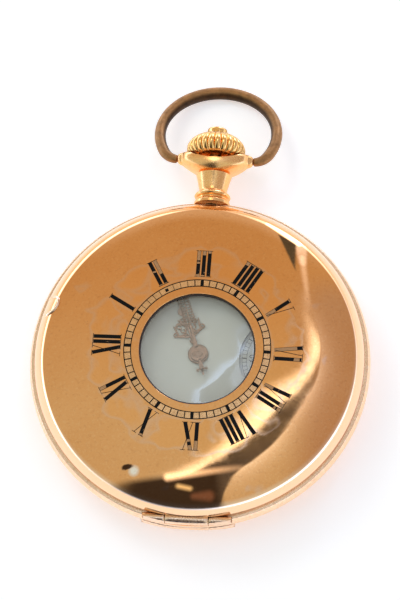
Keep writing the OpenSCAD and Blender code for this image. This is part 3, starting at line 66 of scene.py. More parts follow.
# ---- camera
# The camera that fits the photograph: where it stands and looks, and its focal length in pixels
AZ, EL, ROLL, DIST = radians(13.56), radians(69.32), radians(-9.971), 400
AIM, FOCAL_PX, TALL_PX, SENSOR = Vector((-0.666, 9.702, 6.0)), 2708.2, 600, 36
back = Vector((sin(AZ) * cos(EL), -cos(AZ) * cos(EL), sin(EL)))
flat_right = Vector((cos(AZ), sin(AZ), 0))
flat_up = back.cross(flat_right)
right = cos(ROLL) * flat_right + sin(ROLL) * flat_up
up = -sin(ROLL) * flat_right + cos(ROLL) * flat_up
cam_data = bpy.data.cameras.new("camera")
cam_data.sensor_width = SENSOR
cam_data.lens = FOCAL_PX / TALL_PX * SENSOR
cam_data.clip_start = 0.01
cam = placed("camera", cam_data)
turned_cam = Matrix((right, up, back)).transposed().to_4x4()
cam.matrix_world = Matrix.Translation((AIM + back * DIST) * MM) @ turned_cam
scene.camera = cam


# ---- materials
class Nodes:
    """Short calls that add and link nodes."""

    def __init__(self, tree):
        self.tree = tree

    def put(self, socket, value):
        """Links another node's output to the socket, or sets its value."""
        if isinstance(value, bpy.types.NodeSocket):
            self.tree.links.new(value, socket)
        else:
            socket.default_value = value

    def node(self, kind, inputs=None, **props):
        n = self.tree.nodes.new("ShaderNode" + kind)
        for key, value in props.items():
            setattr(n, key, value)
        for key, value in (inputs or {}).items():
            self.put(n.inputs[key], value)
        return n

    def math(self, op, a, b=0.0, c=0.0, clamp=False):
        return self.node("Math", {0: a, 1: b, 2: c}, operation=op, use_clamp=clamp).outputs[0]

    def times(self, *factors):
        product = factors[0]
        for factor in factors[1:]:
            product = self.math("MULTIPLY", product, factor)
        return product

    def add(self, a, b):
        return self.math("ADD", a, b)

    def minus(self, a, b):
        return self.math("SUBTRACT", a, b)

    def vector(self, op, a, b=None, scale=None):
        given = {k: v for k, v in ((0, a), (1, b), ("Scale", scale)) if v is not None}
        n = self.node("VectorMath", given, operation=op)
        return n.outputs["Value" if op in ("DOT_PRODUCT", "LENGTH") else "Vector"]

    def ramp(self, fac, *stops, ease="LINEAR"):
        n = self.node("ValToRGB", {"Fac": fac})
        n.color_ramp.interpolation = ease
        while len(n.color_ramp.elements) < len(stops):
            n.color_ramp.elements.new(0.5)
        for element, (place, value) in zip(n.color_ramp.elements, stops):
            element.position = place
            element.color = (*value, 1) if isinstance(value, tuple) else (value, value, value, 1)
        return n.outputs["Color"]

    def step(self, fac, low, high):
        """0 below low, 1 above high, straight between."""
        return self.ramp(fac, (low, 0.0), (high, 1.0))

    def mix(self, fac, a, b, mode="MIX"):
        """Mixes colours: of the Mix node's inputs 6 and 7 are the colours A and B, of its outputs 2."""
        a, b = ((*c, 1) if isinstance(c, tuple) else c for c in (a, b))
        return self.node("Mix", {0: fac, 6: a, 7: b}, data_type="RGBA", blend_type=mode).outputs[2]

    def span(self, fac, low, high):
        """Maps 0..1 to low..high."""
        return self.node("MapRange", {"Value": fac, "To Min": low, "To Max": high}).outputs[0]

    def rise(self, value, low, high):
        """0 below low, 1 above high, smooth between; falls if high is the lower."""
        return self.node("MapRange", {"Value": value, "From Min": low, "From Max": high},
                         interpolation_type="SMOOTHSTEP").outputs[0]


class Paint(Nodes):
    """Builds one node material round a Principled shader."""

    def __init__(self, name, **values):
        self.mat = bpy.data.materials.new(name)
        self.mat.use_nodes = True
        super().__init__(self.mat.node_tree)
        self.shader = self.tree.nodes["Principled BSDF"]
        self.coords = self.tree.nodes.new("ShaderNodeTexCoord").outputs["Object"]
        for key, value in values.items():
            self.set(key.replace("_", " "), value)

    def set(self, socket, value):
        self.put(next(s for s in self.shader.inputs if s.name.lower() == socket), value)

    def noise(self, size, detail=3, rough=0.55, distortion=0.0, stretch=None):
        """Noise with features of about that size in millimetres."""
        vector = self.coords
        if stretch:
            vector = self.node("Mapping", {"Vector": self.coords, "Scale": stretch}).outputs[0]
        return self.node("TexNoise", {"Vector": vector, "Scale": 1 / (size * MM), "Detail": detail,
                                      "Roughness": rough, "Distortion": distortion}).outputs["Fac"]

    def cells(self, size):
        return self.node("TexVoronoi", {"Vector": self.coords, "Scale": 1 / (size * MM)}).outputs["Distance"]

    def radius(self, x=0.0, y=0.0):
        """Distance in millimetres from a point of the plan."""
        s = self.node("SeparateXYZ", {0: self.coords})
        dx, dy = self.minus(s.outputs[0], x * MM), self.minus(s.outputs[1], y * MM)
        return self.math("DIVIDE", self.math("SQRT", self.add(self.times(dx, dx), self.times(dy, dy))), MM)

    def done(self, base, roughness, height, distance, strength):
        """The material with that colour and roughness, and with a bump in millimetres."""
        bump = self.node("Bump", {"Height": height, "Distance": distance * MM, "Strength": strength}).outputs[0]
        for socket, value in (("base color", base), ("roughness", roughness), ("normal", bump)):
            self.set(socket, value)
        return self.mat


CASE_R = 25
GOLD_TONES = ((0.88, 0.42, 0.155), (0.84, 0.38, 0.13), (0.93, 0.51, 0.22))


def scaled(color, *by):
    """A colour times one factor, or times one for each channel, held at 1."""
    return tuple(min(1, c * k) for c, k in zip(color, by * (3 // len(by))))


def gold(name, rough, wear, front=False, tint=(1, 1, 1)):
    """Polished gold filling: tone changes, hairlines, rubbed haze and small pits."""
    p = Paint(name, metallic=1.0)
    tone = p.noise(14, 4, 0.6, 0.6)
    fine = p.noise(0.35, 3, 0.6)
    tones = [scaled(tone_color, *tint) for tone_color in GOLD_TONES]
    base = p.mix(p.step(tone, 0.35, 0.68), tones[0], tones[1])
    base = p.mix(p.times(p.step(fine, 0.5, 0.75), 0.5), base, tones[2])
    base = p.mix(p.times(p.step(p.noise(0.5, 2, 0.6), 0.55, 0.75), 0.30), base, (0.60, 0.25, 0.09))
    haze = p.noise(2.6, 5, 0.65, 1.2)
    hair = p.noise(0.16, 2, 0.5, 0.2, (1, 9, 3))
    hair2 = p.noise(0.2, 2, 0.5, 0.2, (7, 1, 3))
    pits = p.ramp(p.cells(1.1), (0.0, 1.0), (0.09, 0.0))
    spots = p.times(p.step(p.noise(4.5, 3), 0.5, 0.66), pits)
    base = p.mix(p.times(spots, 0.75 if front else 0.6 * wear), base, (0.33, 0.13, 0.055))
    roughness = p.add(p.span(p.step(haze, 0.38, 0.72), rough, rough + 0.08 * wear),
                      p.times(p.step(hair, 0.6, 0.72), 0.05 * wear))
    height = p.add(p.times(haze, 0.22), p.times(p.add(hair, hair2), 0.035))
    height = p.minus(height, p.times(spots, 0.3))
    if front:
        out = p.math("DIVIDE", p.radius(), CASE_R)
        # worn lacquer round the numerals, with a faint pink line along its edge
        zone = p.ramp(out, (0.40, 0.0), (0.45, 1.0), (0.59, 1.0), (0.68, 0.0))
        field = p.math("MULTIPLY_ADD", p.noise(3.2, 1, 0.4, 0.5), 0.9, p.times(zone, 0.35))
        inside = p.step(field, 0.70, 0.76)
        line = p.ramp(field, (0.65, 0.0), (0.725, 1.0), (0.83, 0.0))
        base = p.mix(p.times(inside, 0.40), base, (0.94, 0.42, 0.125))
        base = p.mix(p.times(line, 0.42), base, (0.76, 0.50, 0.34))
        roughness = p.add(roughness, p.times(line, 0.03))
        # painted highlight: a pale, nearly white colour on one side of the dent; and the paler worn lip
        dent_highlight = p.times(p.ramp(p.radius(-7.75, -18.6), (0.35, 1.0), (0.95, 0.0)), p.span(fine, 0.6, 1.0))
        base = p.mix(dent_highlight, base, (1.0, 0.93, 0.80))
        rubbed = p.ramp(out, (0.905, 0.0), (0.93, 0.8), (1.0, 1.0))
        base = p.mix(p.times(rubbed, p.span(tone, 0.75, 1.0)), base, (0.98, 0.70, 0.46))
        roughness = p.add(roughness, p.times(rubbed, 0.10))
    return p.done(base, roughness, height, 0.0025 if front else 0.008, 1.0)


def old_brass():
    p = Paint("old_brass", metallic=0.85)
    patches = p.noise(1.8, 5, 0.7, 1.0)
    fine = p.noise(0.25, 4, 0.7)
    base = p.mix(p.step(patches, 0.35, 0.7), (0.47, 0.225, 0.078), (0.27, 0.135, 0.05))
    base = p.mix(p.times(p.step(fine, 0.5, 0.75), 0.5), base, (0.56, 0.30, 0.11))
    # much darker where the wire faces the middle of the bow, on the ring's inner face
    inner_face = p.node("Attribute", attribute_name="inner_face").outputs["Fac"]
    base = p.mix(p.times(inner_face, p.span(patches, 0.8, 1.0)), base, (0.028, 0.016, 0.010))
    return p.done(base, p.span(patches, 0.34, 0.62), p.add(p.times(patches, 0.5), fine), 0.03, 0.6)


def enamel_black(name, wear):
    """Black filling of the engraved marks, chipped through to the gold."""
    p = Paint(name, specular_ior_level=0.10)
    chips = p.add(p.times(p.noise(0.55, 4, 0.65, 0.8), 0.7), p.times(p.noise(2.6, 2), 0.3))
    gone = p.ramp(chips, (0.68 - 0.10 * wear, 0.0), (0.71 - 0.10 * wear, 1.0))
    p.set("metallic", gone)
    base = p.mix(gone, (0.006, 0.0055, 0.005), (0.62, 0.36, 0.17))
    return p.done(base, p.span(gone, 0.3, 0.36), p.minus(p.noise(0.3, 3), gone), 0.02, 0.5)


def engraved(name, bright, deep):
    """Rough ground of the engraved cuts; in dark colours, the painted shade on their walls."""
    p = Paint(name, metallic=0.9)
    fine = p.noise(0.2, 4, 0.7)
    return p.done(p.mix(fine, bright, deep), p.span(fine, 0.3, 0.6), fine, 0.03, 0.6)


def frost(name, color, rough, grain=0.12, patches=3.0, depth=0.012, metallic=1.0, rings=None, stripes=None):
    """Fine-grained metal or paint, with slow tone changes and an optional turned or striped finish; stripes also
    get a painted sheen.
    """
    p = Paint(name, metallic=metallic)
    slow = p.noise(patches, 4, 0.6, 0.4)
    fine = p.noise(grain, 3, 0.6)
    base = p.mix(p.step(slow, 0.3, 0.75), color, scaled(color, 0.72))
    base = p.mix(p.times(p.step(fine, 0.5, 0.8), 0.4), base, scaled(color, 1.18))
    height = fine
    if rings:
        wave = p.math("SINE", p.times(p.radius(*rings[:2]), TAU / rings[2]))
        height = p.add(height, p.times(wave, 0.6))
    if stripes:
        s = p.node("SeparateXYZ", {0: p.coords})
        along = p.add(p.times(s.outputs[0], cos(stripes[0]) / MM),
                      p.times(s.outputs[1], sin(stripes[0]) / MM))
        wave = p.math("SINE", p.times(along, TAU / stripes[1]))
        height = p.add(height, p.times(wave, 4.0))
        # lighter bands along the stripes: a painted sheen
        base = p.mix(p.times(p.span(wave, 0, 1), 0.25), base, scaled(color, 1.2))
    return p.done(base, p.span(slow, rough, rough + 0.12), height, depth, 0.6)


def glass(name, shine):
    """Clear glass that lets lamp light straight through, with faint smears and hairlines."""
    p = Paint(name, ior=1.46, transmission_weight=1.0, coat_weight=shine, coat_ior=1.62, coat_roughness=0.01)
    smear = p.noise(3.5, 4, 0.6, 1.0)
    hair = p.noise(0.15, 2, 0.5, 0.2, (1, 12, 4))
    roughness = p.add(p.span(p.step(smear, 0.55, 0.8), 0.0, 0.05), p.times(p.step(hair, 0.66, 0.74), 0.05))
    path = p.node("LightPath")
    through = p.math("MAXIMUM", path.outputs["Is Shadow Ray"], path.outputs["Is Diffuse Ray"])
    p.set("alpha", p.minus(1.0, through))
    return p.done((0.97, 0.985, 0.98, 1), roughness, hair, 0.004, 0.15)


def white_enamel(name, color):
    """Fired dial enamel: glossy, with its colour greyed as painted shade, a faint orange peel and a few specks."""
    p = Paint(name, coat_weight=0.6, coat_roughness=0.04)
    slow = p.noise(9, 3)
    speck = p.ramp(p.cells(2.7), (0.0, 1.0), (0.035, 0.0))
    speck = p.times(speck, p.step(p.noise(5, 2), 0.56, 0.62))
    base = p.mix(p.times(speck, 0.8), p.mix(slow, color, scaled(color, 0.94)), (0.16, 0.15, 0.13))
    return p.done(base, p.span(slow, 0.12, 0.2), p.noise(0.8, 2), 0.01, 0.15)


def ruby():
    p = Paint("ruby_jewel", ior=1.76, transmission_weight=0.55, coat_weight=0.5)
    cloud = p.noise(0.5, 3)
    base = p.mix(cloud, (0.62, 0.03, 0.09), (0.40, 0.012, 0.045))
    return p.done(base, p.span(cloud, 0.03, 0.12), cloud, 0.004, 0.2)


# Centres of the turned finish on two wheels of the CAD
RATCHET, CROWN_WHEEL, WHEEL_STEEL = (-8.257, 5.782), (0, 13.155), (0.62, 0.63, 0.65)
M = {
    "front_gold": gold("front_gold", 0.025, 0.45, True),
    "gold": gold("case_gold", 0.13, 1.1),
    # band, hinge and thumb-piece gold: a much paler copy of the case gold, lightened as painted light because the
    # band lies in the lid's shade
    "rim_gold_painted_light": gold("rim_gold_painted_light", 0.22, 1.3, tint=(1.10, 1.60, 2.9)),
    # crown and pendant gold: paler, yellower copies of the case gold, lightened as painted light on these parts
    "crown_gold_painted_light": gold("crown_gold_painted_light", 0.16, 0.5, tint=(1.12, 1.36, 1.25)),
    "pendant_gold_painted_light": gold("pendant_gold_painted_light", 0.24, 0.6, tint=(1.12, 1.30, 1.35)),
    "inner_gold": gold("inner_gold", 0.10, 0.3),
    "old_brass": old_brass(),
    "black": enamel_black("black_enamel", 0.35),
    "black_worn": enamel_black("black_enamel_worn", 1.0),
    "ink": frost("dial_ink", (0.012, 0.012, 0.014), 0.3, metallic=0.0),
    "cut": engraved("engraved_floor", (0.66, 0.38, 0.18), (0.40, 0.21, 0.095)),
    # near-black copy: painted shade on the walls of the engraved cuts
    "cut_edge": engraved("engraved_wall_shade", (0.15, 0.07, 0.03), (0.04, 0.02, 0.012)),
    "track": frost("track_ground", (0.92, 0.53, 0.25), 0.20, 0.2, 2.0),
    # dark ring round the window: painted shade for the gap between the lip and the glass
    "gap_shade": frost("window_gap_shade", (0.055, 0.035, 0.025), 0.55, metallic=0.0),
    "glass": glass("window_glass", 1.0),
    "crystal": glass("dial_crystal", 0.0),
    # white dial enamel greyed down: painted shade for the dial that lies deep under the cover and the glass
    "dial": white_enamel("shaded_dial_enamel", (0.66, 0.67, 0.605)),
    "seconds": white_enamel("shaded_seconds_enamel", (0.66, 0.67, 0.61)),
    "hand": frost("gilt_hands", (0.52, 0.30, 0.21), 0.30, 0.10, 0.5, 0.03),
    "gilt": frost("frosted_gilt", (0.85, 0.62, 0.30), 0.34, 0.07, 6.0, 0.02),
    "bridge": frost("striped_gilt", (0.86, 0.63, 0.31), 0.26, 0.07, 6.0, 0.01, stripes=(0.7, 1.3)),
    "brass": frost("grained_brass", (0.83, 0.60, 0.26), 0.24, 0.08, 4.0),
    "steel": frost("polished_steel", (0.60, 0.61, 0.63), 0.18, 0.06, 2.0, 0.006),
    "ratchet": frost("turned_steel", WHEEL_STEEL, 0.20, 0.06, 2.0, rings=(*RATCHET, 0.22)),
    "crown_wheel": frost("turned_steel_small", WHEEL_STEEL, 0.20, 0.06, 2.0, rings=(*CROWN_WHEEL, 0.22)),
    "blued": frost("blued_steel", (0.035, 0.07, 0.24), 0.18, 0.06, 1.5, 0.005),
    "ruby": ruby(),
}


# ---- mesh helpers
# Height of the stem's axis, on which the pendant, the crown and the bow are centred
STEM_Z = 6


def finish(name, bm, mat, body, replaced=(), sharp=32.0, smooth=True):
    """Makes a piece of what is drawn in bm and puts it on its body and in place of CAD nodes."""
    bmesh.ops.recalc_face_normals(bm, faces=bm.faces)
    o = meshed(name, bm)
    if smooth:
        o.data.shade_smooth()
        o.data.set_sharp_from_angle(angle=radians(sharp))
    for key in mat.split():
        o.data.materials.append(M[key])
    if replaced:
        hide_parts(*replaced)
    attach(o, body)
    return o


def point(bm, x, y, z):
    return bm.verts.new(Vector((x, y, z)) * MM)


def skin(bm, loops, closed=False):
    """Faces between rings of points, closed to a hoop or capped at both ends."""
    count = len(loops[0])
    for a, b in zip(loops, loops[1:] + (loops[:1] if closed else [])):
        for k in range(count):
            bm.faces.new((a[k], a[(k + 1) % count], b[(k + 1) % count], b[k]))
    if not closed:
        bm.faces.new(loops[0][::-1])
        bm.faces.new(loops[-1])


def turned(bm, profile, around="Z", seg=192, centre=(0, 0)):
    """Turns a closed section of (radius, height) points round Z at a centre, or round the stem."""
    rings = []
    for r, h in profile:
        ring = []
        for a in (TAU * i / seg for i in range(1 if r < 1e-6 else seg)):
            if around == "Z":
                co = (centre[0] + r * cos(a), centre[1] + r * sin(a), h)
            else:
                co = (r * sin(a), h, STEM_Z + r * cos(a))
            ring.append(bm.verts.new([c * MM for c in co]))
        rings.append(ring * (seg // len(ring)))
    for a, b in zip(rings, rings[1:] + rings[:1]):
        for i in range(seg):
            j = (i + 1) % seg
            corners = list(dict.fromkeys((a[i], a[j], b[j], b[i])))
            if len(corners) > 2:
                bm.faces.new(corners)


def rounded(profile, r, n=3, limit=25):
    """The same closed section with its sharp corners rounded."""
    out = []
    for i, p in enumerate(profile):
        p, a, b = Vector(p), Vector(profile[i - 1]), Vector(profile[(i + 1) % len(profile)])
        u, v = a - p, b - p
        if min(u.length, v.length, p.x) < 1e-6 or degrees(u.angle(v)) > 180 - limit:
            out.append(tuple(p))
            continue
        d = min(r, u.length * 0.45, v.length * 0.45)
        start, end = p + u.normalized() * d, p + v.normalized() * d
        hold = min(1.35 * d, u.length * 0.49, v.length * 0.49)
        out.append(tuple(p + u.normalized() * hold))
        for k in range(n + 1):
            t = k / n
            out.append(tuple((1 - t) ** 2 * start + 2 * t * (1 - t) * p + t * t * end))
        out.append(tuple(p + v.normalized() * hold))
    return out


def arc(c, r, t0, t1, n):
    """Points of a section on a circle, by the angle of the normal from the vertical, in degrees."""
    tilts = [radians(t0 + (t1 - t0) * i / n) for i in range(n + 1)]
    return [(c[0] + r * sin(t), c[1] + r * cos(t)) for t in tilts]


def bar(bm, x0, x1, y, z, r, seg=32, edge=0.06):
    """Rounded cylinder along X."""
    rings = [(x0, r - edge), (x0 + edge * 0.4, r - edge * 0.3)]
    rings += [(x0 + edge + (x1 - x0 - 2 * edge) * i / 8, r) for i in range(9)]
    rings += [(x1 - edge * 0.4, r - edge * 0.3), (x1, r - edge)]
    round_points = [(cos(TAU * i / seg), sin(TAU * i / seg)) for i in range(seg)]
    skin(bm, [[point(bm, x, y + q * c, z + q * s) for c, s in round_points] for x, q in rings])


def block(bm, lo, hi, bevel=0.0):
    lo, hi = Vector(lo) * MM, Vector(hi) * MM
    made = bmesh.ops.create_cube(bm, size=1)["verts"]
    for v in made:
        v.co = Vector([lo[k] if v.co[k] < 0 else hi[k] for k in range(3)])
    if bevel:
        edges = list({e for v in made for e in v.link_edges})
        bmesh.ops.bevel(bm, geom=edges, offset=bevel * MM, segments=2, affect="EDGES", profile=0.5)


def cut(o, build):
    """Takes what build draws out of the piece."""
    bm = bmesh.new()
    build(bm)
    bmesh.ops.recalc_face_normals(bm, faces=bm.faces)
    cutter = meshed("cutter", bm)
    mod = o.modifiers.new("cut", "BOOLEAN")
    mod.operation, mod.object, mod.solver = "DIFFERENCE", cutter, "EXACT"
    result = evaluated(o)
    o.modifiers.clear()
    o.data = result
    result.set_sharp_from_angle(angle=radians(32))
    bpy.data.objects.remove(cutter)


# ---- case
LIP_R, SHEET, EDGE = 24.1, 0.5, 4.2
# Tilts at which the edge bend, the shoulder and the dome of a cover end, in degrees
EDGE_END, SHOULDER_END, DOME_END = 75, 22, 3.5
WINDOW_R = 8.44
HINGE_Y, FRONT_HINGE_Z, BACK_HINGE_Z = -24.3, 7.25, 4.75
KNUCKLE_R, KNUCKLE_HALF, KNUCKLE_SLIT, PIN_R = 0.75, 3.1, 0.1, 0.33
FRONT_SIDE_KNUCKLE, BACK_SIDE_KNUCKLE = 3.2, 3.6
ROOM_R, PIN_HALF = 0.84, 4.2
# Radii that the turned-in hinge and the ends of its pins keep within
FLUSH_R, FLUSH_PIN_R = 25.02, 24.9


def cover_arcs(lip, top):
    """Centres and radii of the dome, the shoulder and the edge bend of a cover."""
    (s1, c1), (s2, c2), (s3, c3) = ((sin(radians(a)), cos(radians(a))) for a in (DOME_END, SHOULDER_END, EDGE_END))
    edge = (LIP_R - EDGE * s3, lip - EDGE * c3)
    p = (edge[0] + EDGE * s2, edge[1] + EDGE * c2)
    k = (1 - c1) / s1
    mid = (top - p[1] - k * p[0]) / ((1 - c2) - k * s2)
    big = mid + (p[0] - mid * s2) / s1
    dome = (0.0, top - big)
    shoulder = ((big - mid) * s1, top - big + (big - mid) * c1)
    return (dome, big), (shoulder, mid), (edge, EDGE)


FRONT_LIP, FRONT_TOP = 7.95, 12.2
FRONT_ARCS = cover_arcs(FRONT_LIP, FRONT_TOP)


def cover_z(r):
    """Height of the outside of the front cover at a radius."""
    (dome, big), (shoulder, mid), (edge, e) = FRONT_ARCS
    if r <= big * sin(radians(DOME_END)):
        return dome[1] + sqrt(big * big - r * r)
    if r <= shoulder[0] + mid * sin(radians(SHOULDER_END)):
        return shoulder[1] + sqrt(mid * mid - (r - shoulder[0]) ** 2)
    return edge[1] + sqrt(max(e * e - (r - edge[0]) ** 2, 0))


def cover_profile(lip, lip_end, top, hole, flat):
    """Section of a cover of sheet metal, with a hole or a flat spot in the middle."""
    arcs = cover_arcs(lip, top)
    big = arcs[0][1]
    outside = [] if hole else [(0, top - (big - sqrt(big * big - flat * flat)))]
    inside = []
    for side, sheet, start, steps in ((outside, 0, max(hole, flat), (24, 30, 30)),
                                      (inside, SHEET, hole, (10, 14, 18))):
        tilts = (degrees(asin(start / (big - sheet))), DOME_END, SHOULDER_END, EDGE_END)
        for i, (centre, radius) in enumerate(arcs):
            side += arc(centre, radius - sheet, tilts[i], tilts[i + 1], steps[i])[min(i, 1):]
    return outside + [(LIP_R, lip - 0.05), (LIP_R, lip_end), (LIP_R - SHEET, lip_end)] + inside[::-1]


def knuckle_room(z, side):
    """Draws the room that a cover leaves for the band's knuckles."""
    def build(bm):
        for s in (-1, 1):
            x0, x1 = sorted((s * KNUCKLE_HALF, s * (KNUCKLE_HALF + side + 2 * KNUCKLE_SLIT)))
            bar(bm, x0, x1, HINGE_Y, z, ROOM_R, 48, 0.001)
    return build


def dent(o, x, y, long, wide, depth):
    """Presses a shallow oval dent into the outside and inside of a cover."""
    for v in o.data.vertices:
        d = hypot((v.co.x / MM - x) / long, (v.co.y / MM - y) / wide)
        if d < 1:
            v.co.z -= depth * MM * cos(pi / 2 * d) ** 2


def flush(bm, r=FLUSH_R):
    """Draws the hinge in so that it lies flush with the band."""
    for v in bm.verts:
        far = v.co.xy.length / MM
        if far > r:
            v.co.x, v.co.y = v.co.x * r / far, v.co.y * r / far


bm = bmesh.new()
turned(bm, rounded(cover_profile(FRONT_LIP, 7.3, FRONT_TOP, WINDOW_R, 0), 0.09, 4), seg=320)
front = finish("front_cover_shell", bm, "front_gold", "front_lid", ["front_cover"])
cut(front, knuckle_room(FRONT_HINGE_Z, FRONT_SIDE_KNUCKLE))
dent(front, -8.25, -18.45, 1.8, 1.05, 0.115)

bm = bmesh.new()
turned(bm, rounded([(r, -z) for r, z in cover_profile(-4.05, -4.7, 0.2, 0, 10.7)], 0.09, 4), seg=256)
back_lid = finish("back_cover_shell", bm, "gold", "back_lid", ["back_cover"])
cut(back_lid, knuckle_room(BACK_HINGE_Z, BACK_SIDE_KNUCKLE))

for side, z in (("front", FRONT_HINGE_Z), ("back", BACK_HINGE_Z)):
    bm = bmesh.new()
    bar(bm, -KNUCKLE_HALF, KNUCKLE_HALF, HINGE_Y, z, KNUCKLE_R)
    flush(bm)
    finish(side + "_hinge_knuckle", bm, "rim_gold_painted_light", side + "_lid")
bm = bmesh.new()
for z in (FRONT_HINGE_Z, BACK_HINGE_Z):
    bar(bm, -PIN_HALF, PIN_HALF, HINGE_Y, z, PIN_R)
flush(bm, FLUSH_PIN_R)
finish("flush_hinge_pins", bm, "brass", "case", ["hinge_pins"])

# Band: the section of the CAD node, with a smooth bulge and softened corners
BULGE_R, BULGE_HALF = 2.0, 36.87
bulge = [(CASE_R - BULGE_R + BULGE_R * cos(a), STEM_Z + BULGE_R * sin(a)) for a in
         [radians(-BULGE_HALF + 2 * BULGE_HALF * i / 20) for i in range(21)]]
section = [(20.95, 7.2), (20.95, 6.6), (23.9, 6.6), (23.9, 5.4), (22.0, 5.4), (22.0, 4.8), (22.85, 4.8),
           (22.85, 4.05), (23.35, 4.05), (23.35, 4.8)]
section += bulge + [(23.35, 7.2), (23.35, 7.95), (22.85, 7.95), (22.85, 7.2)]
bm = bmesh.new()
turned(bm, rounded(section, 0.05, 2), seg=256)
band = finish("case_band_ring", bm, "rim_gold_painted_light", "case", ["case_band"])


def band_cuts(bm):
    """Notches of the hinge and the slot of the lock spring."""
    block(bm, (-6.5, -26, 6.4), (6.5, -23.45, 9.4))
    block(bm, (-6.9, -26, 2.6), (6.9, -23.45, 5.6))
    block(bm, (-2.8, 22.6, 5.55), (-1.0, 23.55, 9))


def stem_hole(r, y0, y1):
    """Draws the room of the stem, between two distances from the centre."""
    return lambda bm: turned(bm, [(0, y0), (r, y0), (r, y1), (0, y1)], "Y", 48)


cut(band, band_cuts)
cut(band, stem_hole(1.0, 20, 26))
bm = bmesh.new()
for s in (-1, 1):
    for z, side, way in ((FRONT_HINGE_Z, FRONT_SIDE_KNUCKLE, -1), (BACK_HINGE_Z, BACK_SIDE_KNUCKLE, 1)):
        start = KNUCKLE_HALF + KNUCKLE_SLIT
        x0, x1 = sorted((s * start, s * (start + side)))
        bar(bm, x0, x1, HINGE_Y, z, KNUCKLE_R)
        foot = sorted((z, z + way * 1.05))
        block(bm, (x0, HINGE_Y - 0.25, foot[0]), (x1, HINGE_Y + 0.55, foot[1]), 0.05)
flush(bm)
finish("band_hinge_knuckles", bm, "rim_gold_painted_light", "case")

# ---- pendant, crown and bow
bm = bmesh.new()
neck = [(0, 24.6), (2.75, 24.6), (2.72, 25.1), (2.5, 25.3), (2.28, 25.5), (2.3, 25.7), (2.62, 25.85),
        (2.76, 26.1), (2.62, 26.4), (2.3, 26.55), (2.14, 26.75), (2.12, 27.1), (2.2, 27.6), (2.36, 28.2),
        (2.5, 28.85), (2.7, 29.5), (0, 29.5)]
turned(bm, rounded(neck, 0.08, 3, 12), "Y", 96)
pend = finish("pendant_neck", bm, "pendant_gold_painted_light", "case", ["pendant"])
pendant_bore = stem_hole(1.5, 20, 34)
cut(pend, pendant_bore)
# Height along the stem of the pivots on which the bow swings
PIVOT_Y = 32.15


def boat(bm):
    """Head of the pendant: a boat shape across the stem, with rounded arm tips."""
    nx, nq = 48, 40
    arm, tip_r, top, squareness = 4.9, 0.95, 33.1, 0.8
    loops = []
    for i in range(nx + 1):
        x = -(arm + tip_r) * cos(pi * i / nx)
        far = abs(x) / arm
        if far > 1:
            half = depth = tip_r * sqrt(max(1 - ((abs(x) - arm) / tip_r) ** 2, 1e-4))
            middle = PIVOT_Y
        else:
            low = 29.2 + 2.0 * far ** 1.5
            middle, half = (low + top) / 2, (top - low) / 2
            depth = tip_r + 2.15 * (1 - far ** 2) ** 0.6
        loop = []
        for k in range(nq):
            c, d = cos(TAU * k / nq), sin(TAU * k / nq)
            loop.append(point(bm, x, middle + half * copysign(abs(c) ** squareness, c),
                              STEM_Z + depth * copysign(abs(d) ** squareness, d)))
        loops.append(loop)
    skin(bm, loops)


bm = bmesh.new()
boat(bm)
head = finish("pendant_head", bm, "pendant_gold_painted_light", "case")
crown_seat = [(0, 31.5), (3.15, 31.5), (3.5, 31.75), (3.85, 32.0), (4.15, 32.35), (4.42, 32.8), (4.5, 33.2),
              (4.5, 36), (0, 36)]
cut(head, lambda bm: turned(bm, crown_seat, "Y", 64))
cut(head, pendant_bore)


def fluted(bm):
    """Onion crown: rounded ribs between narrow grooves, and a small domed cap."""
    ribs, per, foot = 26, 14, 32.2
    count = ribs * per
    side = [(0.0, 2.6), (0.05, 3.1), (0.22, 3.6), (0.5, 3.98), (0.85, 4.25), (1.25, 4.42), (1.7, 4.44),
            (2.15, 4.32), (2.6, 4.05), (3.0, 3.68), (3.35, 3.22), (3.62, 2.72), (3.8, 2.25), (3.86, 1.85)]
    depths = [0.42 * sin(pi * (i + 0.6) / (len(side) + 0.2)) ** 0.6 for i in range(len(side))]
    cap = [(3.92, 1.62), (4.05, 1.55), (4.6, 1.55), (4.85, 1.5), (5.0, 1.3), (5.09, 0.9), (5.12, 0.4)]
    loops = []
    for (h, r), d in zip(side + cap, depths + [0] * len(cap)):
        loop = []
        for k in range(count):
            q = r - d * (1 - abs(sin(pi * k / per)) ** 0.42)
            a = TAU * k / count
            loop.append(point(bm, q * sin(a), foot + h, STEM_Z + q * cos(a)))
        loops.append(loop)
    skin(bm, loops)


bm = bmesh.new()
fluted(bm)
crown = finish("crown_onion", bm, "crown_gold_painted_light", "stem_group", ["crown"], sharp=50)

# The bow: a ring of this radius about a centre above the pivots, leaning back until it rests on the floor
BOW_R, BOW_C, BOW_SIDES = 8.85, 5.48, 28
BOW_DROP = asin((STEM_Z - 0.95) / (BOW_C + BOW_R))


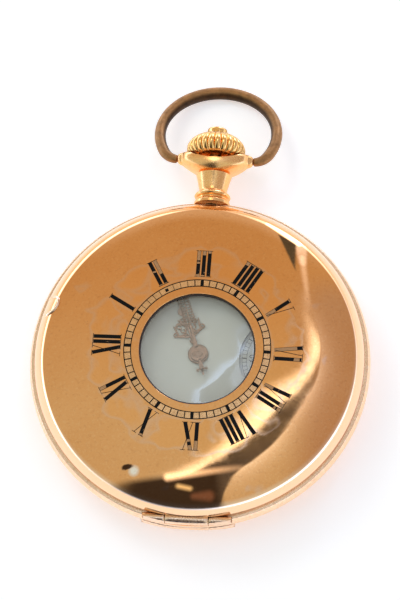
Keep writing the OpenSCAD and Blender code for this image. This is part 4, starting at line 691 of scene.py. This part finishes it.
def bow_wire(bm):
    """Round wire bent to an open ring whose ends turn in to the pivots, flattened a little on the outside."""
    turn_in, rings = radians(117), 110
    start = Vector((BOW_R * sin(turn_in), BOW_C + BOW_R * cos(turn_in)))
    bend, pivot = Vector((7.15, 0.12)), Vector((5.95, -0.02))
    stations = []
    for i in range(rings + 1):
        a = turn_in * (2 * i / rings - 1)
        out = Vector((sin(a), cos(a)))
        stations.append((Vector((0, BOW_C)) + BOW_R * out, out, 0.82 + 0.13 * cos(a / 2) ** 4))
    thick = stations[-1][2]
    ends = []
    for i in range(1, 13):
        t = i / 12
        place = start * (1 - t) ** 2 + bend * (2 * t * (1 - t)) + pivot * t ** 2
        way = ((bend - start) * (1 - t) + (pivot - bend) * t).normalized()
        ends.append((place, Vector((-way.y, way.x)), thick * (1 - 0.22 * t)))
    for step, k in ((0.08, 0.97), (0.15, 0.88), (0.20, 0.70), (0.23, 0.35)):
        ends.append((pivot + way * step, Vector((-way.y, way.x)), thick * 0.78 * k))
    mirrored = [(Vector((-place.x, place.y)), Vector((-out.x, out.y)), r) for place, out, r in reversed(ends)]
    loops = []
    for place, out, r in mirrored + stations + ends:
        loop = []
        for j in range(BOW_SIDES):
            q = TAU * j / BOW_SIDES
            c, s = cos(q), sin(q)
            c, s = copysign(abs(c) ** 0.85, c), copysign(abs(s) ** 0.85, s)
            m = max(1.0, hypot(c, s))
            x, py = place + out * (r * c / m)
            pz = r * s / m
            y = py * cos(BOW_DROP) + pz * sin(BOW_DROP)
            z = -py * sin(BOW_DROP) + pz * cos(BOW_DROP)
            loop.append(point(bm, x, PIVOT_Y + y, STEM_Z + z))
        loops.append(loop)
    skin(bm, loops)


bm = bmesh.new()
bow_wire(bm)
bow = finish("bow_ring", bm, "old_brass", "bow_group", ["bow"], sharp=60)
# the wire's inner face, facing the middle of the bow, which the bow's material darkens
inner_face = bow.data.attributes.new("inner_face", "FLOAT", "POINT")
for i, here in enumerate(inner_face.data):
    inward = -cos(TAU * (i % BOW_SIDES) / BOW_SIDES)
    here.value = max(0.0, min(1.0, (inward - 0.45) / 0.4))


# ---- marks on the front cover
rng = random.Random(7)


def on_cover(lift):
    return lambda x, y: cover_z(hypot(x, y)) + lift


def sheet_strip(bm, left, right_side, height, material=0):
    """Thin strip between two rows of plan points, laid on a surface."""
    a, b = ([point(bm, x, y, height(x, y)) for x, y in row] for row in (left, right_side))
    for i in range(len(a) - 1):
        bm.faces.new((a[i], a[i + 1], b[i + 1], b[i])).material_index = material


def stroke(bm, place, p, q, width, height, steps=8, ragged=0.0, material=0, grow=0.0):
    """A stroke from p to q in a mark's own (across, out) plan, put in place, that grows wider by so much."""
    p, q = Vector(p), Vector(q)
    d = q - p
    n = Vector((-d.y, d.x)).normalized()
    left, right_side = [], []
    for i in range(steps + 1):
        t = i / steps
        w = (width + grow * t) / 2
        c = p + d * t
        j1 = rng.uniform(-ragged, ragged) if 0 < i < steps else rng.uniform(-ragged, ragged) * 2
        j2 = rng.uniform(-ragged, ragged)
        left.append(place(*(c + n * (w + j2 * 0.4) + d.normalized() * j1)))
        right_side.append(place(*(c - n * (w + j1 * 0.4) + d.normalized() * j2)))
    sheet_strip(bm, left, right_side, height, material)


def ring_strip(bm, r, w, height, centre=(0, 0), material=0):
    """Thin ring with one step to a degree."""
    inner, outer = [], []
    for degree in range(361):
        s, c = sin(radians(degree)), cos(radians(degree))
        inner.append((centre[0] + (r - w / 2) * s, centre[1] + (r - w / 2) * c))
        outer.append((centre[0] + (r + w / 2) * s, centre[1] + (r + w / 2) * c))
    sheet_strip(bm, inner, outer, height, material)


def placer(angle, r0, centre=(0, 0)):
    """Plan of a mark at an angle clockwise from the pendant: across runs clockwise and out from the centre."""
    a = radians(angle)
    out, across = Vector((sin(a), cos(a))), Vector((cos(a), -sin(a)))
    return lambda u, v: tuple(Vector(centre) + out * (r0 + v) + across * u)


LETTER_WIDTH = {"I": 0.78, "V": 1.75, "X": 1.7}


def letters(word):
    """Each letter of a centred Roman numeral with its left edge and width."""
    x = -sum(LETTER_WIDTH[c] for c in word) / 2
    for c in word:
        yield c, x, LETTER_WIDTH[c]
        x += LETTER_WIDTH[c]


def numeral_strokes(word, h):
    """Strokes of a Roman numeral with its feet at 0 and tops at h: (is it thick, start, end)."""
    out = []
    for c, x, w in letters(word):
        m = x + w / 2
        if c == "I":
            out.append((True, (m, 0), (m, h)))
        elif c == "V":
            out += [(True, (m, 0), (x + 0.3, h)), (False, (m, 0), (x + w - 0.25, h))]
        else:
            out += [(True, (x + w - 0.35, 0), (x + 0.35, h)), (False, (x + 0.25, 0), (x + w - 0.25, h))]
    return out


def numeral(bm, word, angle, fills):
    """Engraved numeral: dark outline that paints the shade on the cut's walls, dull floor, and black filling where
    some is left of it.
    """
    foot_r, h, thick = 11.15, 4.1, 0.5
    place, fills = placer(angle, foot_r), iter(fills)
    edge, floor, black = (on_cover(0.012 + k) for k in (0.0, 0.004, 0.008))
    for is_thick, p, q in numeral_strokes(word, h):
        if not is_thick:
            stroke(bm, place, p, q, 0.085, black, material=3)
            continue
        # dark outline: painted shade on the walls of the cut
        stroke(bm, place, p, q, thick + 0.07, edge)
        stroke(bm, place, p, q, thick - 0.05, floor, material=1)
        p, q = Vector(p), Vector(q)
        for t0, t1 in next(fills):
            stroke(bm, place, p.lerp(q, t0), p.lerp(q, t1), thick + 0.02, black, 10, 0.035, 2)
    for c, x, w in letters(word):
        for v in (0, h):
            if c == "I":
                serifs = [(x - 0.05, x + w + 0.05)]
            elif c == "V":
                serifs = [(x - 0.12, x + 0.72), (x + w - 0.55, x + w + 0.1)] if v else []
            elif v:
                serifs = [(x - 0.1, x + 0.75), (x + w - 0.6, x + w + 0.1)]
            else:
                serifs = [(x - 0.1, x + 0.6), (x + w - 0.75, x + w + 0.1)]
            for u0, u1 in serifs:
                stroke(bm, place, (u0, v), (u1, v), 0.075, black, 4, material=3)


FULL = [(0.01, 0.99)]
# Each numeral, its angle, and for each thick stroke the parts that are still filled with black
NUMERALS = [
    ("III", 0, [[(0.08, 0.5), (0.56, 0.63)], [(0.05, 0.83)], [(0.02, 0.9)]]),
    ("IIII", 30, [[(0.02, 0.86)], [(0.03, 0.95)], FULL, [(0.02, 0.97)]]),
    ("V", 60, [[(0.38, 0.97)]]),
    ("VI", 90, [[(0.80, 0.97)], [(0.02, 0.70), (0.9, 0.97)]]),
    ("VII", 120, [[(0.34, 0.98)], [(0.03, 0.84)], [(0.05, 0.72), (0.8, 0.86)]]),
    ("VIII", 150, [FULL, FULL, [(0.02, 0.97)], [(0.0, 0.98)]]),
    ("IX", 180, [[(0.0, 0.66)], [(0.0, 0.62), (0.7, 0.84)]]),
    ("X", 210, [[(0.03, 0.92)]]),
    ("XI", 240, [[(0.04, 0.98)], [(0.02, 0.74)]]),
    ("XII", 270, [FULL, FULL, [(0.0, 0.98)]]),
    ("I", 300, [FULL]),
    ("II", 330, [[(0.04, 0.55), (0.62, 0.99)], [(0.02, 0.42)]]),
]
bm = bmesh.new()
for word, angle, fills in NUMERALS:
    numeral(bm, word, angle, fills)
finish("cover_numerals", bm, "cut_edge cut black black_worn", "front_lid", smooth=False)

TRACK_R = 9.64
bm = bmesh.new()
ring_strip(bm, TRACK_R + 0.5, 0.98, on_cover(0.010), material=1)
for r in (TRACK_R, TRACK_R + 1):
    ring_strip(bm, r, 0.14, on_cover(0.018))
for angle in range(0, 360, 6):
    place = placer(angle, TRACK_R)
    if angle % 30 == 0:
        reach = (0.25, 0.7) if 320 < angle < 340 else (0.0, 1.0)
        stroke(bm, place, (0, reach[0]), (0, reach[1]), 0.50, on_cover(0.022), 4, 0.02, grow=-0.04)
    else:
        worn = 303 < angle < 354
        stroke(bm, place, (0, 0), (0, 1), 0.08 if worn else 0.15, on_cover(0.022), 2, material=2 if worn else 0)
finish("cover_minute_track", bm, "black track black_worn", "front_lid", smooth=False)

# Thumb piece on the lip: a raised bead round a small oval
bm = bmesh.new()
bead = [(-22.75, 7.55), (-22.1, 7.75), (-21.35, 7.62), (-20.98, 7.1), (-20.95, 6.4), (-21.2, 5.75),
        (-21.75, 5.2), (-22.4, 4.85), (-22.95, 4.7)]
for _ in range(2):
    finer = [bead[0]]
    for (x0, y0), (x1, y1) in zip(bead, bead[1:]):
        finer += [(x0 * (1 - t) + x1 * t, y0 * (1 - t) + y1 * t) for t in (0.25, 0.75)]
    bead = finer + [bead[-1]]
loops = []
for i, (x, y) in enumerate(bead):
    (xa, ya), (xb, yb) = bead[max(i - 1, 0)], bead[min(i + 1, len(bead) - 1)]
    way = Vector((xb - xa, yb - ya, 0)).normalized()
    across = Vector((-way.y, way.x, 0))
    size = 0.24 * min(1.0, 0.35 + min(i, len(bead) - 1 - i) / 4)
    middle = Vector((x, y, cover_z(hypot(x, y)) + 0.02))
    round_points = [(size * cos(TAU * k / 14), size * sin(TAU * k / 14)) for k in range(14)]
    loops.append([point(bm, *(middle + across * c + Vector((0, 0, s)))) for c, s in round_points])
skin(bm, loops)
finish("thumb_lug", bm, "rim_gold_painted_light", "front_lid")

# ---- window and crystal
def dome(r, rise, foot, n):
    """Profile of a domed cap of that rise over its foot, from the axis to r."""
    big = (r ** 2 + rise ** 2) / (2 * rise)
    return arc((0, foot + rise - big), big, 0, degrees(asin(r / big)), n)


bm = bmesh.new()
seat, rebate_r, pane = 11.65, 9.24, 0.45
turned(bm, dome(8.39, 0.42, seat, 16) + [(rebate_r, seat), (rebate_r, seat - pane), (0, seat - pane)], seg=160)
finish("window_pane", bm, "glass", "front_lid", ["window_glass"])
bm = bmesh.new()
# thin dark ring at the window's edge: painted shade for the gap between the cover's lip and the glass
turned(bm, rounded([(8.21, 11.70), (8.21, 11.78), (8.43, 11.88), (8.43, 11.70)], 0.02, 2), seg=160)
finish("window_gap_shade_ring", bm, "gap_shade", "front_lid")

bm = bmesh.new()
crystal_r, under, over = 21.27, 9.4, 9.75
turned(bm, dome(crystal_r, 0.9, over, 20) + [(crystal_r, over)] + dome(crystal_r, 0.9, under, 20)[::-1])
finish("dial_crystal_pane", bm, "crystal", "case", ["crystal"])

bm = bmesh.new()
outer, bend_r = 22.75, 1.3
bezel = [(21.45, 7.2), (outer, 7.2), (outer, 8.4)] + arc((outer - bend_r, 8.4), bend_r, 90, 0, 12)[1:]
bezel += [(21.29, 9.7), (21.29, 9.4), (20.55, 9.4), (20.55, 9.1), (21.45, 9.1)]
turned(bm, rounded(bezel, 0.05, 2))
finish("bezel_ring", bm, "gold", "case", ["bezel"])

# ---- dial
# Centre of the seconds dial, and the heights of the printing on both dials
SECONDS_AT, DIAL_PRINT, SECONDS_PRINT = (12.2, 0), 9.056, 8.556


def flat(z):
    return lambda x, y: z


def printed(bm, word, angle):
    """Numeral printed on the dial."""
    foot_r, h = 15.35, 3.0
    place, on_dial = placer(angle, foot_r), flat(DIAL_PRINT)
    for is_thick, p, q in numeral_strokes(word, h):
        stroke(bm, place, p, q, 0.42 if is_thick else 0.08, on_dial, 2)
    for _, x, w in letters(word):
        for v in (0, h):
            stroke(bm, place, (x - 0.05, v), (x + w + 0.05, v), 0.07, on_dial, 1)


def track(bm, r0, r1, line, bold, fine, reach, z, centre=(0, 0)):
    """Two rings with sixty marks between them, every fifth of them bold."""
    for r in (r0, r1):
        ring_strip(bm, r, line, flat(z), centre)
    for i in range(60):
        stroke(bm, placer(6 * i, r0, centre), (0, 0), (0, reach), fine if i % 5 else bold, flat(z), 1)


bm = bmesh.new()
turned(bm, rounded([(1.35, 9.05), (20.3, 9.05), (20.3, 8.55), (1.35, 8.55)], 0.12, 3))
dial = finish("dial_plate", bm, "dial", "case", ["dial"])
cut(dial, lambda bm: turned(bm, [(0, 8), (6.33, 8), (6.33, 9.02), (6.45, 9.2), (0, 9.2)], centre=SECONDS_AT))
bm = bmesh.new()
turned(bm, rounded([(0.5, 8.55), (6.78, 8.55), (6.78, 8.27), (0.5, 8.27)], 0.05, 2), seg=128, centre=SECONDS_AT)
finish("seconds_plate", bm, "seconds", "case", ["seconds_dial"])

bm = bmesh.new()
for word, angle, _ in NUMERALS:
    if word != "VI":
        printed(bm, word, angle)
track(bm, 18.75, 19.45, 0.06, 0.26, 0.07, 0.7, DIAL_PRINT)
finish("dial_printing", bm, "ink", "case", smooth=False)

bm = bmesh.new()
track(bm, 5.3, 5.95, 0.05, 0.16, 0.055, 0.65, SECONDS_PRINT, SECONDS_AT)
finish("seconds_track", bm, "ink", "case", smooth=False)
for k, label in enumerate(("60", "10", "20", "30", "40", "50")):
    text = bpy.data.curves.new("seconds_figure", "FONT")
    text.body, text.size, text.align_x, text.align_y = label, 1.25 * MM, "CENTER", "CENTER"
    text.resolution_u = 3
    typed = placed("tmp", text)
    mesh = evaluated(typed)
    bpy.data.objects.remove(typed)
    out = Vector((sin(radians(60 * k - 90)), cos(radians(60 * k - 90)), 0))
    mesh.transform(Matrix.Translation((Vector((*SECONDS_AT, SECONDS_PRINT + 0.002)) + out * 4.45) * MM)
                   @ Matrix.Rotation(pi / 2, 4, "Z"))
    mesh.materials.append(M["ink"])
    figure = placed("seconds_figure_%d" % k, mesh)
    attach(figure, "case")


# ---- hands
def swell(a, b):
    """Width of a at the ends and a + b in the middle."""
    return lambda t: a + b * sin(pi * t)


def taper(a, b):
    """Width that falls from a by b."""
    return lambda t: a - b * t


def hand(name, node, body, z, angle, parts, mat="hand"):
    """Pierced hand of bars (from, to, width), rings (centre, radius, width) and curls.

    A curl is (centre, first and last radius, first and last angle, width).
    """
    bm = bmesh.new()
    height = 0.14
    c, s = cos(radians(angle)), sin(radians(angle))
    ox, oy = SECONDS_AT if node == "seconds_hand" else (0, 0)

    def rod(points, w, closed=False):
        n = len(points)
        loops = []
        for i, (x, y) in enumerate(points):
            x0, y0 = points[i - 1 if closed else max(i - 1, 0)]
            x1, y1 = points[(i + 1) % n if closed else min(i + 1, n - 1)]
            t = Vector((x1 - x0, y1 - y0)).normalized()
            half = (w(i / (n - 1)) if callable(w) else w) / 2
            e = min(0.035, half * 0.6)
            loop = []
            for u, v in ((-half, 0), (-half, height - e), (-half + e, height),
                         (half - e, height), (half, height - e), (half, 0)):
                px, py = x - t.y * u, y + t.x * u
                loop.append(point(bm, ox + c * px - s * py, oy + s * px + c * py, z + v))
            loops.append(loop)
        skin(bm, loops, closed)

    for kind, centre, *rest in parts:
        if kind == "bar":
            end, w = rest
            rod([Vector(centre).lerp(Vector(end), t / 6) for t in range(7)], w)
            continue
        x, y = centre
        if kind == "ring":
            r, w = rest
            rod([(x + r * cos(TAU * i / 40), y + r * sin(TAU * i / 40)) for i in range(40)], w, True)
        else:
            r0, r1, a0, a1, w = rest
            points = []
            for t in (i / 24 for i in range(25)):
                r, q = r0 + (r1 - r0) * t, radians(a0 + (a1 - a0) * t)
                points.append((x + r * cos(q), y + r * sin(q)))
            rod(points, w)
    finish(name, bm, mat, body, [node], sharp=40)


parts = [("ring", (0, 0), 1.23, 0.44), ("ring", (0, 0), 1.40, 0.14), ("ring", (2.1, 0), 0.34, 0.18),
         ("bar", (1.3, 0), (2.9, 0), taper(0.55, 0.15)), ("bar", (1.9, -0.5), (2.3, 0.5), 0.2)]
for s in (-1, 1):
    parts += [("curl", (4.35, s * 1.15), 0.92, 0.80, s * -235, s * 60, 0.22),
              ("curl", (3.75, s * 2.0), 0.42, 0.12, s * -60, s * 300, 0.18),
              ("curl", (5.05, s * 1.05), 0.55, 0.14, s * 200, s * -160, 0.18),
              ("curl", (4.1, s * 0.75), 0.42, 0.12, s * 30, s * 360, 0.16),
              ("curl", (5.6, s * 0.45), 0.36, 0.10, s * -90, s * 230, 0.16),
              ("ring", (3.15, s * 0.55), 0.26, 0.16),
              ("bar", (2.8, s * 0.1), (3.7, s * 2.3), swell(0.14, 0.16)),
              ("bar", (3.6, s * 1.6), (5.2, s * 1.9), swell(0.12, 0.16)),
              ("bar", (4.4, s * 0.1), (5.9, s * 1.0), swell(0.12, 0.18))]
parts += [("bar", (2.9, 0), (6.4, 0), 0.26), ("bar", (6.2, 0), (7.6, 0), swell(0.35, 0.9)),
          ("bar", (7.5, 0), (9.6, 0), taper(0.32, 0.27))]
hand("hour_hand_pierced", "hour_hand", "hour_group", 9.20, 114, parts)

parts = [("ring", (0, 0), 0.88, 0.54), ("bar", (-2.9, 0), (-0.9, 0), swell(0.25, 0.35)),
         ("bar", (-3.3, 0), (-2.5, 0), 0.26), ("bar", (-2.5, -0.7), (-2.4, 0.7), 0.2),
         ("ring", (-2.3, 0), 0.3, 0.14), ("ring", (-2.45, 0.62), 0.17, 0.1), ("ring", (-2.45, -0.62), 0.17, 0.1),
         ("bar", (0.9, 0), (4.6, 0), taper(0.55, 0.25)), ("bar", (4.4, 0), (9.6, 0), 0.2)]
for i in range(12):
    x, half = 4.7 + 0.42 * i, 0.98 - 0.04 * i
    parts += [("bar", (x, -half), (x + 0.12, half), 0.13)]
    parts += [("ring", (x + 0.07, s * half * 0.82), 0.14, 0.10) for s in (-1, 1)]
x, w = 10.4, 0.95
for s in (-1, 1):
    parts += [("curl", (x, s * w * 0.52), w * 0.42, w * 0.10, s * -200, s * 170, 0.128),
              ("curl", (x - w * 0.65, s * w * 0.40), w * 0.34, w * 0.12, s * 60, s * 330, 0.104),
              ("curl", (x + w * 0.75, s * w * 0.30), w * 0.30, w * 0.08, s * -120, s * 150, 0.096),
              ("bar", (x - w * 1.15, s * 0.1), (x + w * 0.1, s * w * 0.9), swell(0.10, 0.10)),
              ("bar", (x + w * 0.1, s * w * 0.9), (x + w * 1.1, s * 0.08), swell(0.10, 0.10))]
parts += [("bar", (9.2, 0), (11.8, 0), 0.2), ("bar", (11.6, 0), (12.8, 0), swell(0.25, 0.6)),
          ("bar", (12.7, 0), (16.35, 0), taper(0.3, 0.26))]
hand("minute_hand_pierced", "minute_hand", "minute_group", 9.50, 108, parts)

parts = [("ring", (0, 0), 0.37, 0.34), ("bar", (-1.7, 0), (-0.4, 0), 0.3),
         ("bar", (0.4, 0), (4.9, 0), taper(0.2, 0.14))]
hand("seconds_hand_blued", "seconds_hand", "fourth_group", 8.85, -20, parts, "blued")

# ---- CAD nodes that keep their shape
NODE_PAINT = {
    "gold": "pendant_sleeve window_glass_ring", "inner_gold": "cuvette",
    "gilt": "main_plate balance_wheel escape_wheel balance_cock pallet_bridge",
    "bridge": "barrel_bridge train_bridge",
    "brass": "barrel_drum barrel_cover centre_wheel third_wheel fourth_wheel minute_wheel hour_wheel",
    "steel": "spring_screws bridge_screws case_screws crown_shaft winding_stem winding_pinion sliding_pinion "
             "setting_wheel click barrel_arbor third_arbor fourth_arbor escape_arbor pallet_fork balance_staff "
             "regulator",
    "hand": "cannon_pinion centre_arbor",
    "ratchet": "ratchet_wheel", "crown_wheel": "crown_wheel", "old_brass": "bow_pivots",
    "blued": "lock_spring lift_spring click_spring mainspring hairspring", "ruby": "jewels pallet_stones",
}
for key, names in NODE_PAINT.items():
    for name in names.split():
        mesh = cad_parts[name].data
        if not mesh.materials:
            mesh.materials.append(M[key])
        for i in range(len(mesh.materials)):
            mesh.materials[i] = M[key]

# ---- light, floor and backdrop
world = bpy.data.worlds.new("studio")
scene.world = world
world.use_nodes = True
world.node_tree.nodes.clear()
W = Nodes(world.node_tree)


def studio():
    """Soft studio round the watch: warm grey walls, a long curved light with a dark edge, and a window.

    Each direction is placed by the spot of the closed front cover that mirrors it to the photograph's
    viewpoint, in millimetres, so that lights and screens can be set where the photograph shows them.
    """
    view = W.node("TexCoord").outputs["Generated"]
    half = W.vector("NORMALIZE", W.vector("ADD", view, tuple(back)))
    # the camera is near, so its view turns across the cover: nearness is in turns of the normal to the mm
    nearness, offset = 0.00126, (0.0, 0.009, 0.0)
    flat_way = W.vector("ADD", W.vector("MULTIPLY", half, (1, 1, 0)), offset)
    lean = W.vector("LENGTH", flat_way)
    r = W.math("DIVIDE", lean, 1 / FRONT_ARCS[0][1] + nearness)
    for centre, radius in FRONT_ARCS[1:]:
        straight = W.math("MULTIPLY_ADD", lean, radius, centre[0])
        r = W.math("MINIMUM", r, W.math("DIVIDE", straight, 1 + nearness * radius))
    r = W.math("MULTIPLY_ADD", W.rise(W.node("SeparateXYZ", {0: half}).outputs[2], 0.26, -0.3), 6.0, r)
    spot = W.vector("SCALE", W.vector("NORMALIZE", flat_way), scale=r)
    x, y, _ = W.node("SeparateXYZ", {0: spot}).outputs
    turn = W.math("DIVIDE", W.math("ARCTAN2", x, y), TAU)
    turn = W.add(turn, W.math("LESS_THAN", turn, 0.0))

    def along(*stops):
        """Up to three values, 0 where left out, that change with the angle clockwise from the pendant."""
        placed_stops = [(angle / 360, (*values, 0, 0)[:3]) for angle, *values in stops]
        return W.node("SeparateColor", {0: W.ramp(turn, *placed_stops, ease="CARDINAL")}).outputs

    def plus(colour, amount, light):
        return W.mix(amount, colour, W.mix(1.0, colour, light, "ADD"))

    def streak(colour, p, q, r0, r1, soft, light, ends=(1.0, 1.0)):
        """Adds a tapering light from p to q, soft over that width, whose strength changes between its ends."""
        d = (q[0] - p[0], q[1] - p[1], 0)
        away = W.vector("SUBTRACT", spot, (*p, 0))
        h = W.math("DIVIDE", W.vector("DOT_PRODUCT", away, d), d[0] ** 2 + d[1] ** 2, clamp=True)
        gap = W.vector("LENGTH", W.vector("SUBTRACT", away, W.vector("SCALE", d, scale=h)))
        line = W.rise(W.minus(gap, W.math("MULTIPLY_ADD", h, r1 - r0, r0)), soft, -soft * 0.3)
        return plus(colour, W.times(line, W.span(h, *ends)), light)

    def side(p, q, soft):
        """1 to the right of the line from p to q."""
        n = Vector((q[1] - p[1], p[0] - q[0], 0)).normalized()
        d = W.vector("DOT_PRODUCT", W.vector("SUBTRACT", spot, (*p, 0)), tuple(n))
        return W.rise(d, -soft, soft)

    # walls: warm above, neutral below, a little darker to the right
    colour = W.mix(W.rise(y, 13, -14), (0.64, 0.54, 0.39), (0.69, 0.755, 0.735))
    colour = W.mix(W.times(W.rise(x, 12, 19), W.rise(y, 14, 8)), colour, (0.54, 0.505, 0.53))
    colour = W.mix(W.times(W.rise(r, 20, 22), W.rise(y, 12, 20)), colour, (0.78, 0.78, 0.82))

    # long curved light, brightest along its outer edge, and the dark screen beyond that edge
    inner = along((60, 0.680), (70, 0.695, 0.25), (86, 0.712, 1), (98, 0.695, 1, 0.2), (105, 0.664, 1, 0.7),
                  (112, 0.640, 1, 0.9), (121, 0.594, 1, 0.95), (138, 0.604, 1, 0.95), (149, 0.622, 1, 0.95),
                  (156, 0.634, 1, 1), (163, 0.664, 1, 1), (171, 0.70, 1, 1), (183, 0.776, 0.7, 0.95),
                  (191, 0.832, 0.25, 0.6), (203, 0.905, 0, 0.25), (212, 0.93))
    outer = along((60, 0.70, 0, 0.3), (79, 0.71, 0.35, 0.4), (98, 0.715, 0.65, 0.55), (112, 0.697, 0.85, 1),
                  (124, 0.70, 0.7, 1), (136, 0.716, 0.9, 1), (149, 0.74, 1, 0.9), (157, 0.762, 0.9, 0.7),
                  (162, 0.80, 0.5, 0.6), (166, 0.87, 0.15, 0.55), (169, 0.942, 0, 0.5), (210, 0.942, 0, 0.5))
    inside = W.minus(W.times(inner[0], CASE_R), r)
    beyond = W.minus(r, W.times(outer[0], CASE_R))
    glow = W.times(W.rise(W.math("DIVIDE", inside, outer[2]), 4.6, 0.7), W.rise(inside, -0.15, 0.25), inner[1])
    colour = plus(colour, glow, (1.5, 2.05, 3.1))
    fade = W.math("EXPONENT", W.math("DIVIDE", W.math("MAXIMUM", beyond, 0.0), -1.15))
    colour = plus(colour, W.times(fade, W.rise(beyond, -0.2, 0.2), outer[1]), (0.6, 0.9, 1.6))
    screen = W.times(W.rise(inside, 0.2, -0.2), W.rise(beyond, 0.2, -0.2), inner[2])
    colour = W.mix(screen, colour, (0.125, 0.15, 0.21))
    # the darkest part of the screen, low down, with the lights that cross it
    low = W.times(side((-11.4, -20.5), (7.4, -17.4), 0.65), W.rise(turn, 165 / 360, 169.5 / 360),
                  W.rise(turn, 216 / 360, 199 / 360), W.rise(r, 23.6, 23.35))
    colour = W.mix(low, colour, (0.055, 0.056, 0.066))
    colour = streak(colour, (-2.9, -19.3), (7.4, -17.35), 0.16, 0.06, 0.7, (2.2, 2.5, 3.2), (1.0, 0.18))
    colour = streak(colour, (-1.3, -20.45), (0.4, -20.7), 0.0, 0.0, 0.6, (1.3, 1.5, 1.4))
    colour = streak(colour, (1.0, -21.7), (3.2, -21.5), 0.1, 0.4, 0.7, (0.17, 0.11, 0.12))

    # window at the upper right: a dark sash between two panes
    colour = streak(colour, (14.1, 16.9), (14.5, 14.4), 0.70, 0.45, 0.4, (0.6, 0.95, 1.9), (1.0, 0.5))
    colour = streak(colour, (14.4, 15.0), (15.9, 6.6), 0.2, 0.1, 0.5, (0.55, 0.8, 1.4), (0.9, 0.3))
    wedge = W.times(side((10.2, 18.9), (13.2, 17.5), 0.1), side((13.35, 17.5), (13.5, 13.6), 0.2),
                    side((13.3, 13.3), (10.5, 19.0), 0.15))
    colour = W.mix(wedge, colour, (0.11, 0.135, 0.16))
    colour = streak(colour, (8.9, 20.4), (13.8, 17.4), 0.14, 0.34, 0.2, (3.4, 4.0, 6.0))

    # bright floor and walls round the edge, strongest on the left
    wall = along((0, 0.90, 0.15), (15, 0.885, 0.4), (30, 0.885, 0.8), (60, 0.905, 0.5), (90, 0.918, 0.5),
                 (125, 0.925, 0.9), (165, 0.93, 0.8), (195, 0.93, 0.4), (225, 0.922, 0.6), (245, 0.912, 1.0),
                 (270, 0.902, 1.0), (300, 0.888, 1.0), (335, 0.882, 1.0), (348, 0.888, 0.6), (360, 0.90, 0.15))
    over = W.minus(r, W.times(wall[0], CASE_R))
    colour = plus(colour, W.times(W.rise(over, -0.12, 0.12), wall[1]), (2.2, 3.2, 5.5))
    # plain and soft from below
    height = W.node("SeparateXYZ", {0: view}).outputs[2]
    return W.mix(W.rise(height, 0.0, -0.05), colour, (0.62, 0.62, 0.62))


lit = W.node("Background", {"Color": studio(), "Strength": 1.0})
plain = W.node("Background", {"Color": (1, 1, 1, 1), "Strength": 1.0})
is_camera = W.node("LightPath").outputs["Is Camera Ray"]
mixed = W.node("MixShader", {0: is_camera, 1: lit.outputs[0], 2: plain.outputs[0]})
W.tree.links.new(mixed.outputs[0], W.node("OutputWorld").inputs["Surface"])

bm = bmesh.new()
bmesh.ops.create_grid(bm, x_segments=8, y_segments=8, size=1.6)
floor = meshed("floor", bm)
p = Paint("floor_white", base_color=(0.88, 0.88, 0.885, 1), roughness=0.9)
path = p.node("LightPath")
straight = p.math("ADD", path.outputs["Is Camera Ray"], path.outputs["Is Transmission Ray"], clamp=True)
seen = p.math("MAXIMUM", p.times(straight, 0.42), p.times(path.outputs["Is Glossy Ray"], 0.55))
p.set("emission color", (1, 1, 1, 1))
p.set("emission strength", seen)
floor.data.materials.append(p.mat)


def lamp(name, place, target, size, power):
    """Round soft lamp, all lengths in millimetres."""
    data = bpy.data.lights.new(name, "AREA")
    data.shape, data.size, data.energy = "DISK", size * MM, power
    o = placed(name, data)
    o.location = Vector(place) * MM
    o.rotation_euler = (Vector(target) - Vector(place)).to_track_quat("-Z", "Y").to_euler()
    return o


key = lamp("key_lamp", (-260, 260, 420), (0, 0, 0), 220, 0.4)
key.visible_glossy = False
fill = lamp("pendant_fill", (-29, 150, 334), (0, 30, 6), 120, 0.11)
lit_by_fill = bpy.data.collections.new("pendant_fill")
for piece in (pend, head, crown):
    lit_by_fill.objects.link(piece)
fill.light_linking.receiver_collection = lit_by_fill

scene.view_settings.view_transform = "Standard"
